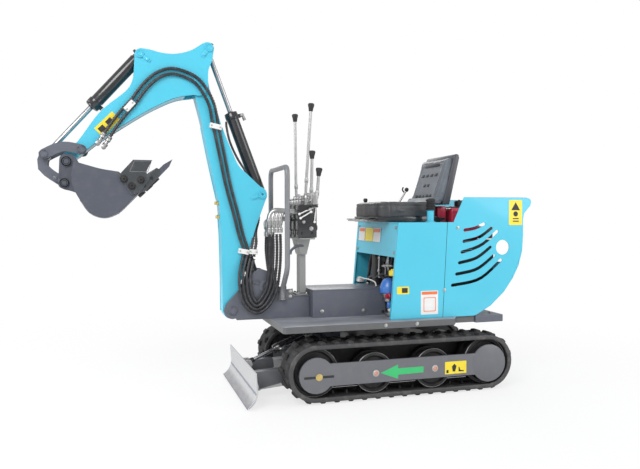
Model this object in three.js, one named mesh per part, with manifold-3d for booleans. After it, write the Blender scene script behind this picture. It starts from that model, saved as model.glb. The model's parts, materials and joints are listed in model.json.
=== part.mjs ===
// A compact tracked digger: rubber tracks, front blade, slewing house with seat and engine box,
// and a boom, arm and bucket worked by cylinders. Millimetres, +X forward, +Y left, +Z up.
// Side outlines are [x, z] pairs, measured from the pin or corner that carries the piece.
import * as THREE from 'three';
import { mergeVertices } from 'three/addons/utils/BufferGeometryUtils.js';
import Module from 'manifold-3d';

const wasm = await Module();
wasm.setup();

// ---- driving dimensions ----
const gap = 0.5; // between pieces that seat on each other
const slewToCentre = 487; // slew axis to the middle of the parked machine's length

const track = { outer: 365, width: 180, height: 300, lug: 12, belt: 15, wheelX: 470, lugs: 38 };
const bar = { thickness: 12, inset: 3, halfHeight: 55, discRadius: 88, discDrop: 8, axleRadius: 14 };
const roller = { radius: 101, width: 100, frontX: 158, rearX: -168 };
const body = { front: 300, rear: -260, bottom: 95, halfWidth: 150 };
const slew = { radius: 170, play: 1.5 };
const deck = {
  clearance: 50,
  thickness: 35,
  front: 632,
  halfWidth: 350,
  step: -280,
  rearHalf: 290,
  rear: -430,
};
const ballast = { length: 167, halfWidth: 300, thickness: 38 };
const blade = { halfWidth: 365, height: 166, plate: 8, armIn: 110, armOut: 160, lift: 9 };
const cover = { front: 418, rear: -40, halfWidth: 118, height: 145 };
const cabinet = {
  halfWidth: 300,
  sheet: 5,
  height: 497,
  footX: 57,
  topX: 13,
  seamTop: -262,
  seamFoot: -236,
  slotRadius: 8.5,
};
const tailTop = 626;
const seat = { halfWidth: 205, front: 100, rear: -350, thickness: 78, backHalf: 168, backHeight: 255 };
const stand = { x: 448, height: 305, halfDepth: 17, halfWidth: 30 };
const valve = { halfDepth: 50, halfWidth: 130, height: 170 };
const rail = { x: 570, halfWidth: 185, top: 780, radius: 13.5, bend: 38 };
const ram = { barrelRadius: 31, gland: 4, rodRadius: 12.5, eyeRadius: 26, eyeHalf: 18, play: 0.6 };
const barrelRoom = 6; // between a barrel and the plates beside it
const boomWall = 9;
const boomHalf = ram.barrelRadius + barrelRoom + boomWall;
const boomRoom = { arm: 5, ears: 6 }; // on each side of the boom
const armWall = 9;
const armHalf = boomHalf + boomRoom.arm + armWall;
const ears = { inner: boomHalf + boomRoom.ears, plate: 14, noseRadius: 44, lobeRadius: 66 };
const bucketHalf = 180;
const bucketPlate = 8;
const hoseRadius = 9;

// pins, as [x, z] from the deck's top face on the slew axis, then along the linkage
const boomPin = [827, 50];
const boomRamPin = [700, 190];
const elbow = [158, 1153]; // from the boom pin
const boomRamEye = [31, 625];
const armRamPin = [-160, 592];
const armRamEye = [-47, 169]; // from the elbow
const bucketRamPin = [288, 117];
const rockerPin = [558, -355];
const bucketPin = [627, -412];
const linkPin = [98, 31]; // from the bucket pin
const bucketLinkPin = [10, -102];

const boomRam = { barrel: 430, rod: 410, gland: 1 };
const armRam = { barrel: 450, rod: 392 };
const bucketRam = { barrel: 345, rod: 358 };
const bladeRam = { barrel: 245, rod: 190, radius: 22, rodRadius: 10, eyeRadius: 17, eyeHalf: 20 };

// ---- heights and places that follow ----
const trackInner = track.outer - track.width;
const wheelZ = track.height / 2;
const beltRadius = wheelZ - track.lug; // outside of the belt, under the lugs
const wheelRadius = beltRadius - track.belt - 2;
const deckBottom = track.height + deck.clearance;
const deckTop = deckBottom + deck.thickness;

// ---- colours ----
const paint = (color, roughness = 0.45, metalness = 0.1) =>
  new THREE.MeshStandardMaterial({ color, roughness, metalness });
const blue = () => paint(0x56cce8, 0.35);
const slate = () => paint(0x6b6d77, 0.5, 0.3);
const grey = () => paint(0x8a8c90, 0.5, 0.3);
const black = () => paint(0x1c1c1e, 0.6);
const rubber = () => paint(0x26262a, 0.9, 0);
const chrome = () => paint(0xd8dade, 0.12, 1);
const red = () => paint(0xb3203a, 0.4);

// ---- solids ----
function toSolid(geometry) {
  const bare = geometry.clone();
  bare.deleteAttribute('normal');
  bare.deleteAttribute('uv');
  const welded = mergeVertices(bare, 1e-3);
  return new wasm.Manifold(
    new wasm.Mesh({
      numProp: 3,
      vertProperties: new Float32Array(welded.attributes.position.array),
      triVerts: new Uint32Array(welded.index.array),
    }),
  );
}

function toGeometry(solid) {
  const mesh = solid.getMesh();
  const geometry = new THREE.BufferGeometry();
  geometry.setAttribute('position', new THREE.BufferAttribute(new Float32Array(mesh.vertProperties), 3));
  geometry.setIndex(new THREE.BufferAttribute(new Uint32Array(mesh.triVerts), 1));
  geometry.computeVertexNormals();
  return geometry;
}

const join = (first, ...others) =>
  toGeometry(others.reduce((solid, other) => solid.add(toSolid(other)), toSolid(first)));
const cut = (first, ...tools) =>
  toGeometry(tools.reduce((solid, tool) => solid.subtract(toSolid(tool)), toSolid(first)));

function box(x0, x1, y0, y1, z0, z1) {
  const geometry = new THREE.BoxGeometry(x1 - x0, y1 - y0, z1 - z0);
  return geometry.translate((x0 + x1) / 2, (y0 + y1) / 2, (z0 + z1) / 2);
}

// an outline in the x-z plane, given thickness from one y to another
function slab(shape, y0, y1, curveSegments = 8) {
  const geometry = new THREE.ExtrudeGeometry(shape, { depth: y1 - y0, bevelEnabled: false, curveSegments });
  return geometry.rotateX(Math.PI / 2).translate(0, y1, 0);
}

const polygon = (points) => new THREE.Shape(points.map(([x, z]) => new THREE.Vector2(x, z)));

// a cylinder across the machine, its ends at two values of y
function pin([x, z], radius, y0, y1, sides = 16) {
  const geometry = new THREE.CylinderGeometry(radius, radius, y1 - y0, sides);
  return geometry.translate(x, (y0 + y1) / 2, z);
}

function post(x, y, radius, z0, z1, sides = 16, topRadius = radius) {
  const geometry = new THREE.CylinderGeometry(topRadius, radius, z1 - z0, sides);
  return geometry.rotateX(Math.PI / 2).translate(x, y, (z0 + z1) / 2);
}

// a corner-rounded outline: each point is [x, z] or [x, z, radius]
function rounded(points) {
  const shape = new THREE.Shape();
  points.forEach(([x, z, radius = 0], i) => {
    const here = new THREE.Vector2(x, z);
    const before = new THREE.Vector2(...points[(i + points.length - 1) % points.length]);
    const after = new THREE.Vector2(...points[(i + 1) % points.length]);
    const enter = here.clone().add(before.sub(here).setLength(radius));
    const leave = here.clone().add(after.sub(here).setLength(radius));
    if (i === 0) shape.moveTo(enter.x, enter.y);
    else shape.lineTo(enter.x, enter.y);
    if (radius > 0) shape.quadraticCurveTo(x, z, leave.x, leave.y);
  });
  return shape;
}

// a band of even width along a list of points, with round ends
function band(points, halfWidth, steps = 6) {
  const curve = new THREE.SplineCurve(points.map(([x, z]) => new THREE.Vector2(x, z)));
  const sides = [[], []];
  for (let i = 0; i <= steps; i++) {
    const at = curve.getPointAt(i / steps);
    const along = curve.getTangentAt(i / steps);
    const across = new THREE.Vector2(-along.y, along.x).multiplyScalar(halfWidth);
    sides[0].push([at.x + across.x, at.y + across.y]);
    sides[1].unshift([at.x - across.x, at.y - across.y]);
  }
  const end = Math.atan2(...curve.getTangentAt(1).toArray().reverse());
  const start = Math.atan2(...curve.getTangentAt(0).toArray().reverse());
  const cap = (point, angle) =>
    [1, 2, 3].map((k) => {
      const turn = angle + Math.PI / 2 - (k * Math.PI) / 4;
      return [point[0] + halfWidth * Math.cos(turn), point[1] + halfWidth * Math.sin(turn)];
    });
  const last = points[points.length - 1];
  return polygon([...sides[0], ...cap(last, end), ...sides[1], ...cap(points[0], start + Math.PI)].reverse());
}

// a round tube along [x, y, z] points
function tube(points, radius, steps, sides = 8) {
  const path = new THREE.CatmullRomCurve3(points.map((p) => new THREE.Vector3(...p)), false, 'centripetal');
  const section = new THREE.Shape();
  for (let k = 0; k < sides; k++) {
    const angle = (2 * Math.PI * k) / sides;
    const [u, v] = [radius * Math.cos(angle), radius * Math.sin(angle)];
    if (k === 0) section.moveTo(u, v);
    else section.lineTo(u, v);
  }
  return new THREE.ExtrudeGeometry(section, { steps, extrudePath: path, bevelEnabled: false });
}

// turns a piece made along +X from the origin so that it points from one pin to another
function aim(geometry, from, to) {
  const angle = Math.atan2(to[1] - from[1], to[0] - from[0]);
  return geometry.rotateY(-angle).translate(from[0], 0, from[1]);
}

// ---- assembly ----
const machine = new THREE.Group();
machine.position.x = -slewToCentre;

function group(parent, x, z) {
  const made = new THREE.Group();
  made.position.set(x, 0, z);
  parent.add(made);
  return made;
}

function add(parent, name, geometry, material) {
  const mesh = new THREE.Mesh(geometry, material);
  mesh.name = name;
  parent.add(mesh);
  return mesh;
}

const house = group(machine, 0, deckTop);
const boomGroup = group(house, ...boomPin);
const armGroup = group(boomGroup, ...elbow);
const bucketGroup = group(armGroup, ...bucketPin);
const sides = [
  ['left', 1],
  ['right', -1],
];
const between = (side, near, far) => (side > 0 ? [near, far] : [-far, -near]);

// ---- tracks ----
function beltPoint(distance, out) {
  const straight = 2 * track.wheelX;
  const radius = beltRadius;
  const arc = Math.PI * radius;
  const reach = radius + out;
  if (distance < straight) return [distance - track.wheelX, wheelZ - reach];
  if (distance < straight + arc) {
    const angle = (distance - straight) / radius - Math.PI / 2;
    return [track.wheelX + reach * Math.cos(angle), wheelZ + reach * Math.sin(angle)];
  }
  if (distance < 2 * straight + arc) return [track.wheelX - (distance - straight - arc), wheelZ + reach];
  const angle = (distance - 2 * straight - arc) / radius + Math.PI / 2;
  return [-track.wheelX + reach * Math.cos(angle), wheelZ + reach * Math.sin(angle)];
}

function trackLoop(side) {
  const length = 4 * track.wheelX + 2 * Math.PI * beltRadius;
  const pitch = length / track.lugs;
  const outline = [];
  for (let i = 0; i < track.lugs; i++) {
    const start = i * pitch + 0.27 * pitch;
    outline.push(beltPoint(start - 0.25 * pitch, 0));
    outline.push(beltPoint(start, 0));
    outline.push(beltPoint(start + 0.08 * pitch, track.lug));
    outline.push(beltPoint(start + 0.38 * pitch, track.lug));
    outline.push(beltPoint(start + 0.46 * pitch, 0));
  }
  const shape = polygon(outline);
  const inner = beltRadius - track.belt;
  const hole = new THREE.Path();
  hole.absarc(track.wheelX, wheelZ, inner, -Math.PI / 2, Math.PI / 2, false);
  hole.absarc(-track.wheelX, wheelZ, inner, Math.PI / 2, (3 * Math.PI) / 2, false);
  hole.closePath();
  shape.holes.push(hole);
  return slab(shape, ...between(side, trackInner, track.outer), 14);
}

const axles = [
  [track.wheelX, wheelZ],
  [-track.wheelX, wheelZ],
  [roller.frontX, track.lug + track.belt + roller.radius + 1],
  [roller.rearX, track.lug + track.belt + roller.radius + 1],
];

function trackFrame(side) {
  const z = wheelZ - bar.discDrop;
  const outerFace = track.outer - bar.inset;
  const innerFace = trackInner + bar.inset;
  const [outerLow, outerHigh] = between(side, outerFace - bar.thickness, outerFace);
  const [innerLow, innerHigh] = between(side, innerFace, innerFace + bar.thickness);
  const strip = (y0, y1) =>
    join(
      box(-track.wheelX, track.wheelX, y0, y1, z - bar.halfHeight, z + bar.halfHeight),
      pin([track.wheelX, z], bar.discRadius, y0, y1, 24),
      pin([-track.wheelX, z], bar.discRadius, y0, y1, 24),
    );
  const [low, high] = between(side, trackInner + bar.inset + 1, track.outer - bar.inset - 1);
  return join(
    strip(outerLow, outerHigh),
    strip(innerLow, innerHigh),
    ...axles.map((axle) => pin(axle, bar.axleRadius, low, high, 12)),
  );
}

// a wheel, bored for its axle
function wheel(radius, width) {
  const bore = bar.axleRadius + 1;
  const half = width / 2;
  const profile = [
    [bore, -half],
    [radius, -half],
    [radius, half],
    [bore, half],
    [bore, -half],
  ];
  return new THREE.LatheGeometry(profile.map(([x, y]) => new THREE.Vector2(x, y)), 24);
}

for (const [label, side] of sides) {
  add(machine, `track_${label}`, trackLoop(side), rubber());
  add(machine, `track_frame_${label}`, trackFrame(side), slate());
  const middle = side * (track.outer - track.width / 2);
  const names = ['idler', 'sprocket', 'roller_front', 'roller_rear'];
  names.forEach((name, i) => {
    const radius = i < 2 ? wheelRadius : roller.radius;
    const mesh = add(machine, `${name}_${label}`, wheel(radius, roller.width), black());
    mesh.position.set(axles[i][0], middle, axles[i][1]);
  });
}

// ---- undercarriage centre ----
const bodyTop = deckBottom - slew.play - 82;
const bladePin = [body.front + 100, body.bottom];
const bladeRamPin = [body.front + 75, bodyTop + 36];
const bladeRamEye = [735, blade.lift + 143];
const bodyEar = { near: 84, far: 103 };

function carBody() {
  const reach = trackInner + bar.inset - gap;
  const pieces = [box(body.rear, body.front, -body.halfWidth, body.halfWidth, body.bottom, bodyTop)];
  for (const x of [roller.frontX - 20, roller.rearX + 20]) {
    pieces.push(box(x - 45, x + 45, -reach, reach, body.bottom + 5, body.bottom + 95));
  }
  for (const [, side] of sides) {
    const [y0, y1] = between(side, bodyEar.near, bodyEar.far);
    const ear = rounded([
      [body.front - 10, body.bottom + 120],
      [body.front - 10, body.bottom - 25],
      [bladePin[0] + 26, bladePin[1] - 25, 22],
      [bladePin[0] + 26, bladePin[1] + 28, 22],
    ]);
    pieces.push(slab(ear, y0, y1, 4));
    const [r0, r1] = between(side, bladeRam.radius + 5, bladeRam.radius + 17);
    const ramEar = rounded([
      [body.front - 60, bodyTop - 40],
      [body.front - 1, bodyTop - 40],
      [bladeRamPin[0] + 20, bladeRamPin[1] - 18, 14],
      [bladeRamPin[0] + 14, bladeRamPin[1] + 20, 14],
      [body.front - 60, bladeRamPin[1] + 10],
    ]);
    pieces.push(slab(ramEar, r0, r1, 4));
  }
  return join(...pieces);
}

add(machine, 'car_body', carBody(), slate());
add(machine, 'slew_ring', post(0, 0, slew.radius, bodyTop + gap, deckBottom - slew.play, 32), black());

// ---- blade ----
function bladeAssembly() {
  const [x, t] = [765, blade.plate];
  const z = blade.lift;
  const profile = new THREE.Shape();
  profile.moveTo(x + t, z + blade.height);
  profile.lineTo(x, z + blade.height);
  profile.lineTo(x - 6, z + 70);
  profile.quadraticCurveTo(x, z + 22, x + 38, z);
  profile.lineTo(x + 46, z + 3);
  profile.quadraticCurveTo(x + 12, z + 24, x + t - 6, z + 70);
  profile.closePath();
  const pieces = [slab(profile, -blade.halfWidth, blade.halfWidth, 6)];
  for (const [, side] of sides) {
    const [y0, y1] = between(side, blade.armIn, blade.armOut);
    const arm = rounded([
      [bladePin[0] - 24, bladePin[1] - 24, 20],
      [x - 5, z + 30],
      [x - 1, z + 120],
      [bladePin[0] + 60, z + 128],
      [bladePin[0] - 24, bladePin[1] + 26, 20],
    ]);
    pieces.push(slab(arm, y0, y1, 4));
    const [r0, r1] = between(side, bladeRam.eyeHalf + 5, bladeRam.eyeHalf + 15);
    const eye = rounded([
      [x - 2, z + 105],
      [x + 2, z + 160],
      [bladeRamEye[0] - 10, bladeRamEye[1] + 17, 12],
      [bladeRamEye[0] - 18, bladeRamEye[1] - 15, 12],
    ]);
    pieces.push(slab(eye, r0, r1, 4));
  }
  pieces.push(box(x - 60, x - 2, -blade.armOut, blade.armOut, z + 30, z + 95));
  return join(...pieces);
}

add(machine, 'blade', bladeAssembly(), grey());

// ---- cylinders ----
function barrel(from, to, size) {
  const { radius, gland, rodRadius, length, eyeRadius, baseHalf } = size;
  const start = eyeRadius * 0.6;
  const bore = rodRadius + ram.play;
  const profile = [
    [0, start],
    [radius * 0.8, start],
    [radius, start + 8],
    [radius, length - 34],
    [radius + gland, length - 34],
    [radius + gland, length],
    [bore, length],
    [bore, start + 22],
    [0, start + 22],
  ];
  const body = new THREE.LatheGeometry(profile.map(([x, y]) => new THREE.Vector2(x, y)), 16);
  const eye = new THREE.CylinderGeometry(eyeRadius, eyeRadius, 2 * baseHalf, 16);
  return aim(join(body.rotateZ(-Math.PI / 2), eye), from, to);
}

function rod(from, to, size) {
  const { rodRadius, rodLength, eyeRadius, eyeHalf, pinHalf } = size;
  const stretch = Math.hypot(to[0] - from[0], to[1] - from[1]);
  const shaft = new THREE.CylinderGeometry(rodRadius, rodRadius, rodLength, 12);
  shaft.rotateZ(-Math.PI / 2).translate(stretch - rodLength / 2, 0, 0);
  const eye = new THREE.CylinderGeometry(eyeRadius, eyeRadius, 2 * eyeHalf, 16).translate(stretch, 0, 0);
  const cross = new THREE.CylinderGeometry(rodRadius, rodRadius, 2 * pinHalf, 12).translate(stretch, 0, 0);
  return aim(join(shaft, eye, cross), from, to);
}

function addRam(parent, name, from, to, size) {
  add(parent, `${name}_barrel`, barrel(from, to, size), black());
  add(parent, `${name}_rod`, rod(from, to, size), chrome());
}

const bigRam = (lengths, baseHalf, pinHalf) => ({
  baseHalf,
  pinHalf,
  gland: lengths.gland ?? ram.gland,
  radius: ram.barrelRadius,
  rodRadius: ram.rodRadius,
  eyeRadius: ram.eyeRadius,
  eyeHalf: ram.eyeHalf,
  length: lengths.barrel,
  rodLength: lengths.rod,
});
const smallRam = {
  radius: bladeRam.radius,
  gland: ram.gland,
  rodRadius: bladeRam.rodRadius,
  eyeRadius: bladeRam.eyeRadius,
  eyeHalf: bladeRam.eyeHalf,
  baseHalf: bladeRam.radius + 4,
  pinHalf: bladeRam.eyeHalf + 3,
  length: bladeRam.barrel,
  rodLength: bladeRam.rod,
};
const plus = (a, b) => [a[0] + b[0], a[1] + b[1]];
const hornRoom = ram.barrelRadius + barrelRoom + 1; // half the space between the arm's horn plates

addRam(machine, 'blade_cylinder', bladeRamPin, bladeRamEye, smallRam);
const inBoom = boomHalf - boomWall - 1; // half the width of an eye between the boom's plates
const inHorns = hornRoom - 1;
const boomRamEnd = plus(boomPin, boomRamEye);
const armRamEnd = plus(elbow, armRamEye);
const bucketRamEnd = plus(bucketPin, linkPin);
addRam(house, 'boom_cylinder', boomRamPin, boomRamEnd, bigRam(boomRam, ears.inner - 1, inBoom));
addRam(boomGroup, 'arm_cylinder', armRamPin, armRamEnd, bigRam(armRam, inBoom, inHorns));
addRam(armGroup, 'bucket_cylinder', bucketRamPin, bucketRamEnd, bigRam(bucketRam, inHorns, ram.eyeHalf + 2));

// ---- deck, ballast and boom bracket ----
function deckPlate() {
  const plan = new THREE.Shape();
  const { front, halfWidth, step, rearHalf, rear } = deck;
  plan.moveTo(front - 12, -halfWidth);
  plan.lineTo(front, -halfWidth + 12);
  plan.lineTo(front, halfWidth - 12);
  plan.lineTo(front - 12, halfWidth);
  plan.lineTo(step, halfWidth);
  plan.lineTo(step - 40, rearHalf);
  plan.lineTo(rear, rearHalf);
  plan.lineTo(rear, -rearHalf);
  plan.lineTo(step - 40, -rearHalf);
  plan.lineTo(step, -halfWidth);
  const geometry = new THREE.ExtrudeGeometry(plan, { depth: deck.thickness, bevelEnabled: false });
  return geometry.translate(0, 0, -deck.thickness);
}

add(house, 'deck', deckPlate(), grey());
const ballastRear = deck.rear - gap - ballast.length;
add(
  house,
  'counterweight',
  box(ballastRear, deck.rear - gap, -ballast.halfWidth, ballast.halfWidth, -ballast.thickness, 0),
  slate(),
);

const bracketHeight = 122;
function boomBracket() {
  const floor = gap;
  const outer = ears.inner + ears.plate;
  const rear = cover.front + 2;
  const pieces = [
    box(rear, boomRamPin[0] - 130, -outer, outer, floor, bracketHeight - 10),
    box(rear, boomPin[0] - 50, -outer, outer, floor, 12),
  ];
  for (const [, side] of sides) {
    const [y0, y1] = between(side, ears.inner, outer);
    const plate = rounded([
      [rear, floor],
      [boomPin[0] - 20, floor],
      [boomPin[0] + 36, boomPin[1] + 30],
      [boomPin[0] - 33, boomPin[1] + 105, 10],
      [boomRamPin[0] + 50, boomRamPin[1] - 10],
      [boomRamPin[0] - 64, boomRamPin[1] - 14, 20],
      [boomRamPin[0] - 124, bracketHeight, 20],
      [rear, bracketHeight - 12],
    ]);
    const [b0, b1] = between(side, outer - 1, outer + 10);
    pieces.push(
      join(
        slab(plate, y0, y1, 5),
        pin(boomPin, ears.noseRadius, y0, y1, 20),
        pin([boomRamPin[0] - 20, boomRamPin[1]], ears.lobeRadius, y0, y1, 24),
        pin(boomPin, 21, b0, b1, 12),
      ),
    );
  }
  return join(...pieces);
}

add(house, 'boom_bracket', boomBracket(), slate());
add(
  house,
  'centre_cover',
  box(cover.rear, cover.front, -cover.halfWidth, cover.halfWidth, gap, cover.height),
  slate(),
);

// ---- cabinet ----
const inner = cabinet.halfWidth - cabinet.sheet;
const neck = { x: -195, y: 238, radius: 19, height: 88 };

function sidePanel(side) {
  const { height, footX, topX, seamTop, seamFoot } = cabinet;
  const shape = polygon([
    [seamFoot, gap],
    [footX, gap],
    [topX, height],
    [seamTop, height],
  ]);
  return slab(shape, ...between(side, inner, cabinet.halfWidth));
}

function frontPanel() {
  const { footX, topX, height, sheet } = cabinet;
  const lean = (z) => topX + ((footX - topX) * (height - z)) / height;
  const low = 317;
  const top = height - sheet - gap;
  const skirt = 22;
  const shape = polygon([
    [lean(low) - sheet - 2, low],
    [lean(low) - 2, low],
    [lean(top) - 2, top],
    [lean(top) - sheet - 2, top],
  ]);
  const lip = box(lean(low) - skirt, lean(low) - 3, -inner + gap, inner - gap, low, low + sheet);
  return join(slab(shape, -inner + gap, inner - gap), lip);
}

function topPanel() {
  const { height, sheet, topX, seamTop } = cabinet;
  const plate = box(seamTop, topX - 1, -inner + gap, inner - gap, height - sheet, height);
  const hole = post(neck.x, neck.y, neck.radius + 2, height - 3 * sheet, height + sheet, 20);
  return cut(plate, hole);
}

function slot([x0, z0], [x1, z1], sag) {
  const middle = [(x0 + x1) / 2 - sag * 0.5, (z0 + z1) / 2 - sag];
  return band([[x0, z0], middle, [x1, z1]], cabinet.slotRadius, 9);
}

function tailPanel(side) {
  const { height, seamTop, seamFoot } = cabinet;
  const shape = new THREE.Shape();
  shape.moveTo(seamFoot - 1, gap);
  shape.lineTo(seamTop - 1, height);
  shape.lineTo(-303, height);
  shape.lineTo(-361, tailTop);
  shape.lineTo(-738, tailTop);
  shape.quadraticCurveTo(-768, tailTop, -768, tailTop - 22);
  shape.quadraticCurveTo(-766, tailTop - 44, -742, tailTop - 62);
  shape.quadraticCurveTo(-717, tailTop - 84, -716, tailTop - 112);
  shape.lineTo(-718, 426);
  shape.bezierCurveTo(-712, 280, -640, 95, -424, gap);
  shape.closePath();
  const slots = [
    [[-364, 455], [-478, 487], 6],
    [[-359, 396], [-525, 465], 14],
    [[-348, 339], [-558, 447], 18],
    [[-333, 283], [-518, 363], 16],
    [[-317, 224], [-539, 318], 22],
    [[-292, 166], [-582, 293], 34],
  ];
  const wide = [-2 * cabinet.halfWidth, 2 * cabinet.halfWidth];
  return cut(
    slab(shape, ...between(side, inner, cabinet.halfWidth), 14),
    ...slots.map(([from, to, sag]) => slab(slot(from, to, sag), ...wide)),
    pin([-592, 361], 40, ...wide, 28),
  );
}

function rearGuard() {
  const at = (t) => {
    const curve = new THREE.CubicBezierCurve(
      new THREE.Vector2(-710, 426),
      new THREE.Vector2(-703, 284),
      new THREE.Vector2(-634, 104),
      new THREE.Vector2(-420, 8),
    );
    return curve.getPoint(t);
  };
  const outer = [];
  const inside = [];
  for (let i = 0; i <= 8; i++) {
    const point = at(0.35 + (0.6 * i) / 8);
    outer.push([point.x, point.y]);
    inside.unshift([point.x + 4, point.y + 4]);
  }
  return slab(polygon([...outer, ...inside]), -inner + gap, inner - gap);
}

add(house, 'cabinet_left', sidePanel(1), blue());
add(house, 'cabinet_right', sidePanel(-1), blue());
add(house, 'cabinet_front', frontPanel(), blue());
add(house, 'cabinet_top', topPanel(), blue());
add(house, 'tail_left', tailPanel(1), blue());
add(house, 'tail_right', tailPanel(-1), blue());
add(house, 'rear_guard', rearGuard(), blue());

function hydraulicTank() {
  const top = cabinet.height - cabinet.sheet - 8;
  return join(
    box(-255, -70, 80, inner - 6, 10, top),
    post(neck.x, neck.y, neck.radius, top - 10, cabinet.height + neck.height, 20),
    post(neck.x, neck.y, neck.radius + 7, cabinet.height + 62, cabinet.height + neck.height + 30, 16, 14),
  );
}

add(
  house,
  'engine',
  slab(polygon([[-290, gap], [-400, gap], [-530, 112], [-606, 230], [-612, 398], [-290, 398]]), -190, 190),
  black(),
);
add(house, 'fuel_tank', box(-540, -366, -130, 150, 398 + gap, 575), red());
add(house, 'hydraulic_tank', hydraulicTank(), blue());
add(house, 'oil_filter', post(5, 176, 40, gap, 190, 20, 34), blue());

// ---- seat ----
const seatBase = cabinet.height + gap;
const cushionBottom = seatBase + 25;
const cushionTop = cushionBottom + seat.thickness;

function seatRails() {
  const rails = [1, -1].map((side) => {
    const [y0, y1] = between(side, 108, 148);
    return box(seat.rear + 50, seat.front - 40, y0, y1, seatBase, seatBase + 13);
  });
  return join(box(seat.rear + 20, seat.front - 20, -150, 150, seatBase + 12, cushionBottom - gap), ...rails);
}

function cushion() {
  const plan = rounded([
    [seat.rear, -seat.halfWidth + 20, 30],
    [seat.front - 12, -seat.halfWidth, 60],
    [seat.front, 0],
    [seat.front - 12, seat.halfWidth, 60],
    [seat.rear, seat.halfWidth - 20, 30],
  ]);
  const raise = { depth: seat.thickness, bevelEnabled: false, curveSegments: 5 };
  return new THREE.ExtrudeGeometry(plan, raise).translate(0, 0, cushionBottom);
}

function seatBack() {
  const z = cushionTop + gap;
  const shape = rounded([
    [seat.rear + 100, z],
    [seat.rear + 7, z + seat.backHeight, 18],
    [seat.rear - 44, z + seat.backHeight - 8, 22],
    [seat.rear + 12, z],
  ]);
  return slab(shape, -seat.backHalf, seat.backHalf, 5);
}

add(house, 'seat_rails', seatRails(), black());
add(house, 'seat_cushion', cushion(), black());
add(house, 'seat_back', seatBack(), black());

// ---- levers, valve block and handrail ----
function leverStand() {
  const z0 = bracketHeight - 10 + gap;
  const z1 = z0 + stand.height;
  const { x, halfDepth, halfWidth } = stand;
  const flare = polygon([
    [x - halfDepth, z1 - 90],
    [x + halfDepth, z1 - 90],
    [x + 38, z1 - 7],
    [x - 38, z1 - 7],
  ]);
  return join(
    box(x - 26, x + 36, -ears.inner, ears.inner, z0, z0 + 8),
    box(x - halfDepth, x + halfDepth, -halfWidth, halfWidth, z0 + 7, z1 - 6),
    slab(flare, -halfWidth - 20, halfWidth + 20),
    box(x - 42, x + 42, -valve.halfWidth + 4, valve.halfWidth - 4, z1 - 8, z1),
  );
}

const valveZ = bracketHeight - 10 + 2 * gap + stand.height;
const valveTop = valveZ + valve.height;
function valveBlock() {
  const { halfDepth, halfWidth } = valve;
  const spools = [-0.75, -0.35, 0.05, 0.45, 0.8].map((share) =>
    post(stand.x, share * halfWidth, 15, valveTop - 1, valveTop + 52, 12),
  );
  return join(
    box(stand.x - halfDepth, stand.x + halfDepth, -halfWidth, halfWidth, valveZ, valveTop),
    ...spools,
  );
}

add(house, 'lever_stand', leverStand(), slate());
add(house, 'valve_block', valveBlock(), black());
add(
  house,
  'handrail',
  (() => {
    const { x, halfWidth, top, bend, radius } = rail;
    const half = [
      [x, ears.inner + ears.plate + radius + 1, 96],
      [x, ears.inner + ears.plate + radius + 4, 150],
      [x, halfWidth - 8, 250],
      [x, halfWidth, 330],
      [x, halfWidth, (330 + top) / 2],
      [x, halfWidth, top - bend],
      [x, halfWidth - bend * 0.3, top - bend * 0.3],
      [x, halfWidth - bend, top],
    ];
    const mirrored = half.map(([px, y, z]) => [px, -y, z]).reverse();
    return tube([...half, ...mirrored], radius, 32, 8);
  })(),
  slate(),
);

// each foot and top is measured from the middle of the valve block's top face
const levers = [
  { name: 'boom_lever', y: -165, foot: [-18, 76], top: [-12, 494] },
  { name: 'arm_lever', y: 5, foot: [-27, 102], top: [-56, 524] },
  { name: 'track_lever_left', y: 72, foot: [-36, 48], top: [-41, 262] },
  { name: 'track_lever_right', y: 162, foot: [-39, 30], top: [-51, 164] },
];
for (const { name, y, foot, top } of levers) {
  const at = ([dx, dz]) => [stand.x + dx, y, valveTop + dz];
  const knob = [top[0] + (foot[0] - top[0]) * 0.09, top[1] + (foot[1] - top[1]) * 0.09];
  const stem = tube([at([-28, 50]), at(foot), at(knob)], 6, 10, 8);
  const grip = tube([at(knob), at(top)], 14, 1, 10);
  const boss = box(stand.x - 42, stand.x - 17, y - 14, y + 14, valveTop + gap, valveTop + 66);
  add(house, name, join(stem, grip, boss), chrome());
}
add(
  house,
  'throttle_lever',
  tube(
    [
      [-180, -245, cabinet.height + gap + 6],
      [-208, -245, cabinet.height + 68],
      [-268, -245, cabinet.height + 193],
    ],
    6,
    6,
    8,
  ),
  chrome(),
);

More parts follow.
